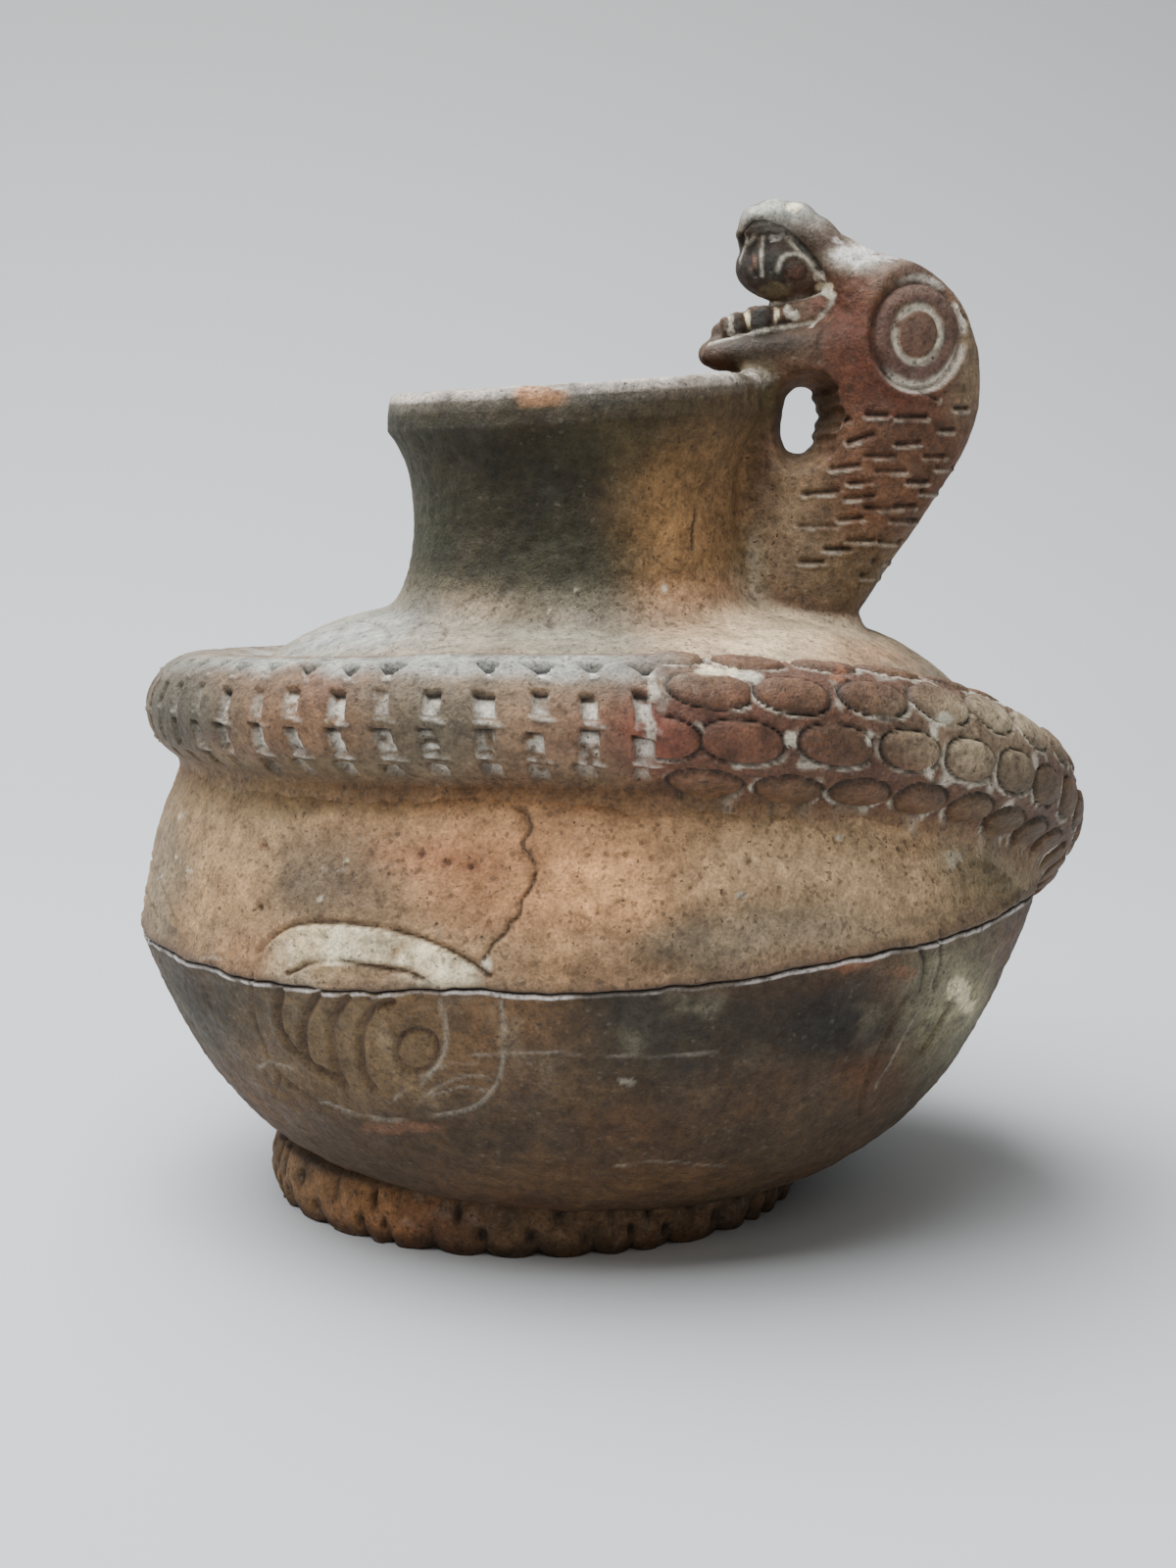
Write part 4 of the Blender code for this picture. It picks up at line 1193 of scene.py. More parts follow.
def neck_lining(azimuth, tilt):
    """Inside of the neck and of the dome, from the lip down to the line under the coil."""
    down = np.linspace(1, 0, 22)[:, None]
    root = NECK_ROOT_HEIGHT
    height = root + down * (LIP_MIDDLE - 1.0 - root)
    radius = neck_radius(height) - NECK_WALL
    neck_part = place(radius + 0 * tilt, height + tilt * down, azimuth)
    split = split_share(azimuth)
    bend = WALL * math.sqrt(0.5)
    level = 0 * tilt[None, :]
    corner = place(NECK_ROOT_RADIUS - bend + level, root - bend + level, azimuth)
    shares = split + (0.93 - split) * np.linspace(1, 0, 8)[:, None] ** 1.3
    grid = np.concatenate([neck_part, corner, dome_lining(shares, azimuth)])
    rough = 0.3 * layered(flatten(grid), 12.0, 271).reshape(grid.shape[:2])
    outward = grid - np.array([NECK_OFFSET, 0.0, 0.0])
    outward[..., 2] = 0
    return grid + unit(outward) * rough[..., None]


# The serpent's body

JAB_TURNS = [61.0, 20.0, -16.0, -53.0]
JAB_PITCH = 9.2
JAB_HALF_WIDTH = 1.60
JAB_HALF_HEIGHT = 3.0
FIRST_JAB = 42.0
LAST_JAB = 386.5
LOW_ROW_START = 220.0
FIRST_SCALE = 392.8
SCALE_ROWS = [(91.0, 0.55), (42.0, 0.0), (-7.0, 0.47), (-55.0, 0.1), (-101.0, 0.6)]
SCALE_PITCHES = [(0.0, 15.8), (3.0, 14.8), (5.0, 13.6), (8.0, 12.6), (11.0, 11.2), (14.0, 9.6),
                 (17.0, 8.0), (24.0, 6.0)]
COIL_STEP = 0.5
COIL_SINK = 0.45
BACK_STEP = 1.5
ROUND_END = 9.0
COIL_SMOOTH = 9
COIL_HALVINGS = 11
# Directions round the coil's section, in degrees: close together where it shows
COIL_TURNS = np.concatenate([np.arange(-116.0, 122.0, 2.8), np.arange(128.0, 240.0, 12.0)])
CHIP_PLACE, CHIP_SIZE = (401.0, 66.0), (7.0, 13.0)


def coil_line():
    """The centre line in even steps: points, radii, directions out and up, and travel."""
    degrees = np.linspace(COIL_ROUTE[0][0], COIL_ROUTE[-1][0], FINE_STEPS)
    climb, stand_off, fullness = through(COIL_ROUTE, degrees)
    azimuth = np.radians(degrees)
    seam = seam_height(azimuth)
    height = seam + climb * (DOME_TOP - seam)
    above = rounded((height - seam) / (DOME_TOP - seam), DOME_TURN)
    below = rounded((seam - height) / (seam - BOWL_UNDERSIDE), BOWL_TURN)
    reach = np.where(height < seam, below, above) + stand_off * COIL_RADIUS
    line = np.column_stack([reach * np.cos(azimuth), reach * np.sin(azimuth), height])
    travel = running(np.linalg.norm(np.diff(line, axis=0), axis=1))
    shown = ramp(degrees, 172, 186) * ramp(degrees, 402, 392)
    step = BACK_STEP + (COIL_STEP - BACK_STEP) * shown
    count = running(np.diff(travel) / step[1:])
    at = np.interp(np.arange(int(count[-1]) + 1), count, travel)
    centre = np.column_stack([np.interp(at, travel, line[:, k]) for k in range(3)])
    radius = np.interp(at, travel, fullness) * COIL_RADIUS
    from_end = np.minimum(at, at[-1] - at) / ROUND_END
    radius = radius * np.sqrt(1 - np.clip(1 - from_end, 0, 0.999) ** 2)
    along = unit(np.gradient(centre, axis=0))
    kernel = np.ones(2 * COIL_SMOOTH + 1) / (2 * COIL_SMOOTH + 1)
    for k in range(3):
        padded = np.pad(along[:, k], COIL_SMOOTH, mode="edge")
        along[:, k] = np.convolve(padded, kernel, mode="valid")
    along = unit(along)
    up = unit(np.array([0.0, 0.0, 1.0]) - along * along[:, 2:])
    return centre, radius, np.cross(along, up), up, at


def jabs(travel, turn, radius):
    """Relief of the jabs, how far a point is on the pale floor of one or its pale lip, which also
    takes painted highlight, and how far it is in painted shadow: the dark top, the left side, the
    slits at the left end and under the lip.
    """
    relief, floor, shade = np.zeros((3, len(travel)))
    count = np.round((travel - FIRST_JAB) / JAB_PITCH).astype(np.int64)
    for row, row_turn in enumerate(JAB_TURNS):
        here = lots(count, row, 500, 7)
        middle = FIRST_JAB + count * JAB_PITCH + 1.5 * (here[0] - 0.5)
        middle_turn = row_turn + 6.0 * (here[1] - 0.5)
        up = np.radians(turn - middle_turn) * radius
        lean = 0.10 + 0.3 * (here[2] - 0.5) - 0.30 * ramp(middle, 300, 265)
        along = travel - middle + lean * up
        half_width = JAB_HALF_WIDTH * (0.75 + 0.4 * here[3]) * (1 - 0.15 * ramp(middle, 310, 280))
        half_height = JAB_HALF_HEIGHT * (0.85 + 0.3 * here[4])
        if row == 0:
            half_height = 0.80 * half_height
            half_width = 1.25 * half_width * np.clip(0.75 + 0.30 * up, 0.2, 2.0)
        inside = ramp(np.abs(along), half_width + 0.2, half_width - 0.2)
        inside = inside * ramp(np.abs(up + 0.12 * along), half_height + 0.2, half_height - 0.2)
        exists = (middle > FIRST_JAB - 2) & (middle < LAST_JAB)
        if row == 3:
            inside = inside * ramp(up, -0.45 * half_height, -0.25 * half_height)
            exists &= middle > LOW_ROW_START
            inside = inside * ramp(here[0], 0.12, 0.3)
        exists = exists * (0.35 + 0.65 * ramp(here[5], 0.08, 0.2))
        rise = (up + half_height) / (2 * half_height)
        depth = 1.1 + 1.0 * np.clip(rise, 0, 1)
        left = ramp(along, 0.2, -half_width)
        sill = up + half_height + 0.55 + 0.16 * along
        lip = bell(sill, 0.34) * (row < 3) * ramp(along, -half_width - 0.5, -half_width)
        lip = lip * ramp(along, half_width + 2.0, half_width)
        relief += exists * (-depth * inside + 0.5 * lip)
        # The floor is pale clay; the lip below each jab is pale pushed clay with painted highlight.
        clay = inside * ramp(rise, 0.92, 0.78) * ramp(rise, 0.02, 0.12) * (0.70 + 0.30 * here[6])
        floor = np.maximum(floor, exists * np.maximum(clay, 0.65 * lip))
        # Painted shadow in each jab: its dark top, its left side, the slits at the left end and the
        # shade under its lip.
        start = 0.50 if row == 0 else 0.78
        slit = ramp(middle, 292, 268)
        dark = inside * np.maximum(ramp(rise, start, start + 0.14), (0.45 + 0.55 * slit) * left)
        dark = np.maximum(dark, 0.7 * slit * inside)
        under = bell(sill, 0.45, -0.95) * ramp(np.abs(along - 0.5), half_width + 1.0, 1.0)
        shade = np.maximum(shade, exists * np.maximum(dark, 0.45 * under))
    return relief, floor, shade


def scale_travel():
    """Travel of each scale of a row, for the row without a shift."""
    index = np.arange(-1, 26)
    pitch = np.interp(index, *np.array(SCALE_PITCHES).T)
    return index, FIRST_SCALE + running(pitch[1:]) - pitch[1]


def scales(travel, turn):
    """Relief of the scales: the gap round each, whose black is painted shade, the painted highlight
    along one side of each, and how high the scale is.
    """
    index, at = scale_travel()
    nearest = np.full(len(travel), 9.0)
    side = np.zeros(len(travel))
    size = np.interp(travel, at, np.gradient(at))
    starts = FIRST_SCALE - 12.0
    for row, (row_turn, phase) in enumerate(SCALE_ROWS):
        place_in_row = np.interp(travel, at, index.astype(float)) - phase
        count = np.round(place_in_row).astype(np.int64)
        here = lots(count, row, 540, 4)
        middle = np.interp(count + phase + 0.12 * (here[0] - 0.5), index, at)
        along = (travel - middle) / (0.47 * size * (0.94 + 0.10 * here[1]))
        half_turn = 18.0 + 2.5 * here[2]
        around = (turn - row_turn - 5.0 * (here[3] - 0.5)) / half_turn
        around = around + 0.14 * along
        span = (np.abs(along) ** 2.15 + np.abs(around) ** 2.15) ** (1 / 2.15)
        span = np.where(middle > starts, span, 9.0)
        closer = span < nearest
        side = np.where(closer, -around - 0.4 * along, side)
        nearest = np.minimum(nearest, span)
    away = (nearest - 1.0) * 0.44 * size
    # The black of the outline groove is painted shade; the rim on one side of each scale takes
    # painted highlight.
    edge = bell(away, 0.42)
    dome = np.clip(1 - nearest**2.4, 0, 1)
    between = ramp(away, 0.3, 1.0)
    begin = ramp(travel, FIRST_SCALE - 9.5, FIRST_SCALE - 6.0)
    rim = bell(away, 0.45, 0.75) * ramp(side, -0.5, 0.6)
    relief = begin * (-1.25 * edge + 0.75 * dome**0.6 - 0.35 * between + 0.35 * rim)
    return relief, begin * rim, begin * edge, begin * between


# Pale clay of the jabs' floors, also painted highlight on their lips.
JAB_CLAY_AND_HIGHLIGHT = (0.86, 0.80, 0.68)
SCALE_GAP = (0.110, 0.046, 0.028)
COIL_PATCHES = [
    # Painted highlight: a bluish grey band along the top of the coil.
    (300, 672, 190, 14, (0.46, 0.48, 0.48), 0.85),
    (180, 725, 54, 60, (0.090, 0.086, 0.068), 0.85),
    (330, 745, 90, 26, (0.26, 0.145, 0.080), 0.7),
    (450, 740, 70, 40, (0.135, 0.112, 0.080), 0.75),
    # Painted highlight: a bluish grey band along the top of the coil.
    (540, 678, 130, 13, (0.46, 0.48, 0.49), 0.85),
    (560, 735, 60, 40, (0.400, 0.250, 0.165), 0.7),
    # Painted shade: an olive band along the coil's underside.
    (260, 785, 160, 14, OLIVE, 0.5),
    (600, 745, 70, 36, (0.25, 0.13, 0.085), 0.55),
    (665, 745, 55, 45, (0.270, 0.075, 0.050), 0.8),
    (790, 745, 110, 45, (0.150, 0.052, 0.032), 0.7),
    (880, 730, 110, 50, (0.115, 0.062, 0.036), 0.75),
    # Painted light: lighter tan over the top-lit scales at the right.
    (1010, 750, 80, 38, (0.66, 0.54, 0.39), 0.85),
    (940, 745, 60, 34, (0.27, 0.20, 0.14), 0.55),
    (1050, 820, 60, 60, (0.130, 0.095, 0.060), 0.7),
    (1075, 860, 40, 50, DARK_BROWN, 0.6),
    # Painted shade: a dark band under the coil.
    (900, 812, 120, 14, DARK_BROWN, 0.4),
]
COIL_SPOTS = [
    (735, 681, 24, 7, CREAM, 0.85), (762, 686, 14, 6, PALE, 0.8), (667, 700, 6, 14, PALE, 0.7),
    (664, 745, 5, 12, PALE, 0.6), (808, 757, 6, 9, PALE, 0.7), (889, 752, 6, 8, PALE, 0.8),
    (957, 745, 5, 12, PALE, 0.8), (965, 733, 9, 5, PALE, 0.7), (950, 790, 5, 8, PALE, 0.7),
    (857, 686, 6, 7, RUST, 0.7), (1062, 778, 4, 10, PALE, 0.5),
]


def coil():
    """The serpent's body, filleted onto the jar, with its jabs and its scales."""
    centre, radius, outward, up, travel = coil_line()
    angle = np.radians(COIL_TURNS)
    c, s = np.cos(angle)[None, :, None], np.sin(angle)[None, :, None]
    direction = flatten(outward[:, None, :] * c + up[:, None, :] * s)
    columns = len(COIL_TURNS)
    start = np.repeat(centre, columns, axis=0)
    size = np.repeat(radius, columns)
    turn = np.tile(COIL_TURNS, len(travel))
    along = np.repeat(travel, columns)
    fillet = 5.0 + 7.0 * ramp(turn, 55, 95)
    low, high = size.copy(), size + 9.0
    for _ in range(COIL_HALVINGS):
        middle = 0.5 * (low + high)
        here = start + direction * middle[:, None]
        field = blend_min(middle - size, off_wall(here) + COIL_SINK, fillet)
        low = np.where(field < 0, middle, low)
        high = np.where(field < 0, high, middle)
    reach = 0.5 * (low + high)
    points = start + direction * reach[:, None]
    standing = ramp(reach - size, 3.0 + 3.5 * ramp(turn, 40, 55), 0.4 + 1.6 * ramp(turn, 40, 55))
    jab_relief, floor, shade = jabs(along, turn, size)
    scale_relief, pale, edge, between = scales(along, turn)
    relief = standing * (jab_relief + scale_relief)
    relief += 0.30 * layered(points, 11.0, 561) + 0.15 * layered(points, 3.2, 571)
    relief += 0.09 * noise(points, 1.4, 572)
    relief -= 0.55 * standing
    wall_part, stains_and_shade = wall_relief(points)
    on_jar = ramp(reach - size, 2.5, 6.0)
    relief += (wall_part - relief) * on_jar
    aside = (along - CHIP_PLACE[0]) / CHIP_SIZE[0]
    chipped = np.exp(-aside ** 2 - ((turn - CHIP_PLACE[1]) / CHIP_SIZE[1]) ** 2)
    relief += chipped * (0.5 * layered(points, 2.5, 581) - 0.3)
    bare = np.maximum(ramp(off_wall(points), 2.4, 0.2), ramp(reach - size, 0.8, 4.0))
    plain = points
    points = points + direction * relief[:, None]
    tint = clouds(plain, [0.8 * GREY, BROWN, TAN, MAROON, BROWN], 30.0, 601)
    scaly = ramp(along, 378, 400)
    tint = mixed(tint, clouds(plain, [MAROON, BROWN, DARK_BROWN, MAROON], 16.0, 611), 0.8 * scaly)
    tint = painted(plain, direction, tint, COIL_PATCHES)
    tint = mixed(tint, ground(plain, direction), bare)
    # Painted shade: the coil's underside darkens where it hangs over the belly.
    under = ramp(turn, -40, -85) * ramp(along, 200, 240) * (1 - on_jar)
    tint = mixed(tint, SHADE, 0.60 * under)
    tint = weathered(plain, tint)
    strength = (0.25 + 0.70 * ramp(along, 268, 330)) * (1 - 0.55 * ramp(turn, -36, -46))
    ragged = ramp(noise(plain, 1.6, 621), -0.8, 0.0)
    tint = mixed(tint, tint * COIL_TONE, 1 - bare)
    patchy = ramp(noise(plain, 6.0, 631), -0.5, 0.3) * ramp(noise(plain, 1.5, 633), -0.9, -0.1)
    clumps = between * ramp(noise(plain, 4.0, 632), 0.50, 0.75)
    # Pale clay on the jabs' floors and lips, the lips with painted highlight; painted shadow in the
    # jabs; the scales' ground; painted shade in the scales' outline grooves; painted highlight
    # along one side of each scale; pale clumps between them.
    tint = lay_stains_and_painted_light(tint, [
        (JAB_CLAY_AND_HIGHLIGHT, strength * floor * ragged * standing),
        (0.5 * BLACK, 0.96 * shade * standing),
        (SCALE_GAP, 0.55 * between * standing),
        (BLACK, 0.92 * edge * standing),
        (PALE, 0.70 * pale * standing * patchy),
        (PALE, 0.55 * clumps * standing),
    ])
    tint = dotted(plain, direction, tint, COIL_SPOTS)
    tint = lay_stains_and_painted_light(tint, stains_and_shade, on_jar)
    dry = dryness(plain, 0.60, 0.12, 8.0, 651, 0.25 * floor)
    quads = grid_quads(len(travel), columns)[:, ::-1]
    make_mesh("serpent_body", *with_ends(points, tint, dry, centre[[0, -1]]), quads,
              caps(len(travel), columns, False))


# The serpent's neck and head

REST_X = NECK_OFFSET + RIM_RADIUS + HEAD_SET
HEAD_LOW = np.array([23.0, -19.0, 108.0])
HEAD_HIGH = np.array([94.0, 19.0, 222.0])
HEAD_STEP = 0.485
HEAD_PROBE = 0.3
HEAD_PASSES = 3
MIRROR = np.array([1.0, -1.0, 1.0])
EYE_DISC = (0.115, 0.064, 0.048)
EYE_WHITE = (0.98, 0.92, 0.78)
EYE_PUPIL = (0.140, 0.080, 0.058)

# Teeth of one side: place along and across, half sizes and top
SIDE_TEETH = [
    (-12.6, 1.8, 0.9, 1.6, 13.8),
    (-9.9, 4.5, 1.45, 2.0, 14.7),
    (-5.0, 6.0, 2.3, 2.3, 16.0),
]
GUM = [
    (-12.8, 10.2, 2.5, 2.6),
    (-9.5, 11.2, 3.0, 4.4),
    (-5.5, 12.0, 3.3, 5.8),
    (-1.0, 13.0, 3.7, 6.8),
    (4.0, 14.2, 4.1, 7.2),
    (10.0, 15.8, 4.7, 8.0),
    (15.0, 16.0, 5.5, 8.5),
]
SNOUT_FILL = (-4.2, 29.6, 5.4, 3.4, 5.6)

# Nicks: the middle, length and tilt of each in the picture
NICKS = [
    (895, 423, 20, 0), (931, 425, 28, 0), (879, 447, 26, 20), (927, 452, 22, 5), (967, 438, 12, 0),
    (981, 416, 12, 0), (898, 465, 28, 0), (863, 476, 28, 8), (909, 480, 28, 0), (955, 465, 20, 0),
    (965, 476, 18, 0), (937, 491, 20, 0), (838, 502, 33, 5), (877, 507, 28, 5), (899, 518, 30, 0),
    (951, 501, 20, 0), (834, 536, 36, 0), (924, 516, 20, 0), (919, 530, 18, 0), (937, 531, 18, 0),
    (879, 551, 26, 0), (909, 552, 22, 0), (828, 573, 23, 0), (902, 572, 20, 0), (858, 430, 18, 15),
    (948, 404, 16, -20), (868, 529, 22, 5), (855, 560, 24, 0), (878, 492, 20, 5), (890, 587, 20, 0),
]


def section_table():
    """Front, back and half thickness of the neck and the back of the head, by height."""
    rows = []
    for share, back, half in NECK_SECTIONS:
        height = DOME_TOP + share * (RIM_HEIGHT - DOME_TOP)
        front = NECK_OFFSET + float(neck_radius(height)) - 0.5 * NECK_WALL
        rows.append((height, front, NECK_OFFSET + WAIST_RADIUS + HEAD_SET + back, half))
    for rise, front, back, half in HEAD_SECTIONS:
        rows.append((RIM_HEIGHT + rise, REST_X + front, REST_X + back, half))
    at = np.linspace(rows[0][0], rows[-1][0], 400)
    return at, through(rows, at)


SECTION_HEIGHTS, SECTIONS = section_table()


def oval_off(u, v, a, b, power):
    """About how far a point is outside a rounded oval."""
    x = np.abs(u) / a
    y = np.abs(v) / b
    q = np.maximum((x**power + y**power) ** (1 / power), 0.03)
    slope = q ** (1 - power) * np.sqrt((x ** (power - 1) / a) ** 2 + (y ** (power - 1) / b) ** 2)
    return (q - 1) / np.maximum(slope, 0.02)


def trunk_off(x, y, z):
    """Distance from the neck and the back of the head."""
    front, back, half = [np.interp(z, SECTION_HEIGHTS, column) for column in SECTIONS]
    side = oval_off(x - 0.5 * (front + back), y, 0.5 * (back - front), half, 2.35)
    over = z - (SECTION_HEIGHTS[-1] - 0.3)
    under = SECTION_HEIGHTS[0] - z
    return np.maximum(np.maximum(side, over), under)


def limb_off(x, y, z, stations):
    """Distance from a jaw."""
    nearest = np.full(np.broadcast(x, y, z).shape, 99.0)
    for (x0, z0, d0, w0), (x1, z1, d1, w1) in zip(stations[:-1], stations[1:]):
        length = math.hypot(x1 - x0, z1 - z0)
        ax, az = (x1 - x0) / length, (z1 - z0) / length
        px = x - (REST_X + x0)
        pz = z - (RIM_HEIGHT + z0)
        run = px * ax + pz * az
        t = np.clip(run / length, 0, 1)
        u = -px * az + pz * ax
        w = run - t * length
        half_depth = d0 + (d1 - d0) * t
        half_width = w0 + (w1 - w0) * t
        bit = oval_off(np.sqrt(u * u + w * w), y, half_depth, half_width, 2.2)
        nearest = blend_min(nearest, bit, 1.5)
    return nearest


def ball_off(x, y, z, middle, half):
    a = ((x - middle[0]) / half[0]) ** 2 + ((y - middle[1]) / half[1]) ** 2
    a = np.sqrt(a + ((z - middle[2]) / half[2]) ** 2)
    return (a - 1) * min(half)


def tooth_off(x, y, z, tooth):
    """Distance from a tooth: its place along and across, its half sizes and its top."""
    along, across, half_length, half_width, top = tooth
    pz = z - (RIM_HEIGHT + 0.5 * (TOOTH_FOOT + top))
    block = oval_off(x - (REST_X + along), y - across, half_length, half_width, 2.6)
    return blend_max(block, np.abs(pz) - 0.5 * (top - TOOTH_FOOT), 1.6)


def jar_off(x, y, z, sink):
    """Distance from the wall of the jar, sunk a little so that the jar's own piece shows."""
    shape = np.broadcast(x, y, z).shape
    points = np.stack([np.broadcast_to(v, shape).ravel() for v in (x, y, z)], axis=1)
    off = off_wall(points).reshape(shape)
    wall = np.maximum(off + sink, -off - NECK_WALL + sink)
    azimuth = np.arctan2(y, x - NECK_OFFSET)
    lip_height = LIP_MIDDLE + RIM_RISE * np.cos(azimuth)
    reach = np.hypot(x - NECK_OFFSET, y) - LIP_MIDDLE_RADIUS
    lip = oval_off(reach, z - lip_height, 0.5 * NECK_WALL - sink, LIP_HALF_HEIGHT - sink, 2.2)
    return np.where(z > lip_height, lip, wall)


def hole_off(x, y, z):
    """Distance from the hole under the throat, an hourglass along Y with ragged sides."""
    px = x - (REST_X + HOLE_PLACE[0])
    pz = z - (RIM_HEIGHT + HOLE_PLACE[1])
    flare = HOLE_FLARE * np.minimum((np.abs(y) / 9.0) ** 1.5, 1.3)
    ragged = 0.55 * np.sin(0.9 * pz + 0.8) + 0.35 * np.sin(2.3 * pz + 0.2 * y)
    return oval_off(px - 0.06 * pz - 0.4 * ragged, pz, HOLE_HALF_WIDTH - 0.6 + flare + 0.3 * ragged,
                    HOLE_HALF_HEIGHT - 0.8 + flare, 2.4)


def head_form(x, y, z):
    """The head and neck without their carving."""
    upper = limb_off(x, y, z, UPPER_JAW)
    lower = limb_off(x, y, z, LOWER_JAW)
    form = blend_min(trunk_off(x, y, z), upper, 5.0)
    form = blend_min(form, lower, 4.0)
    for (along, rise, length, height, width), fillet in ((PALATE, 1.4), (SNOUT_FILL, 1.0)):
        middle = (REST_X + along, 0.0, RIM_HEIGHT + rise)
        form = blend_min(form, ball_off(x, y, z, middle, (length, width, height)), fillet)
    form = blend_min(form, limb_off(x, y, z, GUM), 1.2)
    for along, across, half_length, half_width, top in SIDE_TEETH:
        for side in (-1, 1):
            tooth = (along, side * across, half_length, half_width, top)
            form = blend_min(form, tooth_off(x, y, z, tooth), 0.6)
    inside_cheek = form
    form = blend_min(form, jar_off(x, y, z, 0.45), 6.0)
    form = np.maximum(form, inside_cheek - 6.5)
    return blend_max(form, -hole_off(x, y, z), 1.6)


def eye_relief(x, y, z):
    """Rings carved on each cheek and the brow over them, and where their colours lie, the black at
    the grooves' edges being painted shade.
    """
    px = x - (REST_X + EYE[0])
    pz = (z - (RIM_HEIGHT + EYE[1])) / EYE_STRETCH
    ring = np.hypot(px, pz)
    turn = np.degrees(np.arctan2(pz, px))
    side = ramp(np.abs(y), 5.0, 8.0)
    inner = bell(ring, 0.75, 5.1, 4)
    broad = bell(ring, 0.75, 9.3) * ramp(apart(turn, -75), 75, 35)
    brow = ramp(apart(turn, 70), 110, 40)
    relief = -1.15 * inner - 1.4 * bell(ring, 0.60, 9.9) - 0.6 * broad
    relief += 0.35 * bell(ring, 2.8) + 0.45 * bell(ring, 1.2, 7.5)
    relief += 1.2 * brow * bell(ring, 1.4, 12.2)
    relief += 0.7 * (1 - brow) * bell(ring, 0.9, 11.2)
    thin = 0.6 * bell(ring, 0.28, 10.5) * ramp(apart(turn, -10), 150, 90)
    dark = bell(ring, 0.25, 4.35) + bell(ring, 0.25, 5.95)
    dark = np.clip(dark + 0.8 * bell(ring, 0.4, 9.9) * (1 - broad), 0, 1)
    white = np.clip(broad + thin, 0, 1)
    pupil = ramp(ring, 4.1, 3.4)
    disc = ramp(ring, 5.8, 6.4) * ramp(ring, 10.2, 9.6)
    return side * relief, [side * mask for mask in (inner, white, pupil, dark, disc)]


# Lines on the head: half width and depth in millimetres, colour, share and the picture's pixels.
# The dark colours in the cut lines are painted shade.
HEAD_LINES = [
    (0.55, 1.1, BLACK, 0.90, [(757, 248), (759, 237), (767, 229), (779, 227), (789, 230),
                              (799, 234),
                              (811, 244), (823, 257), (834, 270), (840, 280)]),
    (0.55, 0.0, PALE, 0.70, [(800, 241), (811, 251), (823, 263), (830, 275), (841, 285),
                             (848, 296)]),
    (0.60, 1.0, BLACK, 0.65, [(769, 247), (764, 258), (765, 270), (771, 281)]),
    (0.35, 0.1, PALE, 0.80, [(779, 241), (777, 255), (777, 268), (778, 281)]),
    (0.35, 0.0, PALE, 0.65, [(770, 241), (760, 253), (756, 264), (757, 274)]),
    (0.45, 0.7, BLACK, 0.60, [(785, 244), (783, 260), (786, 280)]),
    (0.45, 0.8, DARK_BROWN, 0.80, [(801, 277), (804, 268), (813, 265), (822, 269), (825, 278),
                                   (821, 287), (812, 289), (804, 285), (801, 277)]),
    (0.45, 0.0, PALE, 0.75, [(794, 276), (798, 264), (808, 259), (820, 262), (829, 271)]),
    (0.60, 0.6, SOOT, 0.60, [(752, 296), (768, 307), (790, 311), (812, 305), (836, 298)]),
    (0.55, 0.0, PALE, 0.85, [(775, 311), (789, 310), (803, 308), (815, 305), (827, 302),
                             (846, 297)]),
    (0.45, 0.3, PALE, 0.70, [(828, 334), (838, 322), (846, 312), (852, 303)]),
    (0.45, 0.0, PALE, 0.85, [(724, 352), (740, 348), (765, 341), (785, 336), (806, 333),
                             (827, 329)]),
    (0.45, 0.9, SOOT, 0.45, [(736, 345), (752, 340), (772, 335), (790, 331), (806, 328)]),
    (0.50, 0.6, BLACK, 0.45, [(838, 340), (835, 354), (837, 369)]),
    (0.50, 0.9, BLACK, 0.75, [(917, 267), (935, 273), (951, 280), (967, 294), (978, 310),
                              (985, 326)]),
    (0.40, 0.7, BLACK, 0.70, [(806, 316), (810, 313), (814, 316)]),
    (0.35, 0.4, MAROON, 0.60, [(862, 292), (871, 285), (880, 292)]),
]
HEAD_SPOTS = [
    (776, 323, 9, 11, (0.050, 0.046, 0.040), 0.9), (753, 328, 5, 9, SOOT, 0.7),
    (740, 332, 2, 8, GREY, 0.6), (763, 326, 3, 11, CREAM, 0.85), (746, 332, 2.5, 10, PALE, 0.85),
    (791, 322, 3, 11, CREAM, 0.8), (804, 318, 4, 7, PALE, 0.7),
    (832, 311, 9, 7, (0.24, 0.11, 0.08), 0.6),
    (812, 322, 6, 5, PALE, 0.6), (842, 292, 8, 5, CREAM, 0.7), (833, 284, 5, 4, PALE, 0.5),
    (845, 300, 9, 4, PALE, 0.8), (812, 211, 7, 6, CREAM, 0.95),
    # The near-white spot on the top of the head is painted highlight.
    (872, 260, 24, 9, (1.0, 0.95, 0.90), 0.8), (792, 241, 7, 4, LILAC, 0.8),
    (760, 244, 4, 3, PALE, 0.8), (812, 277, 8, 8, MAROON, 0.55), (790, 296, 18, 7, OLIVE, 0.6),
    (768, 268, 5, 9, (0.20, 0.10, 0.06), 0.6), (822, 341, 24, 4, DARK_BROWN, 0.3),
    (855, 245, 7, 4, LILAC, 0.6), (895, 262, 26, 5, LILAC, 0.75), (930, 266, 12, 4, TAN, 0.6),
    (770, 385, 14, 10, DUST, 0.5), (768, 572, 6, 30, PALE, 0.2),
]


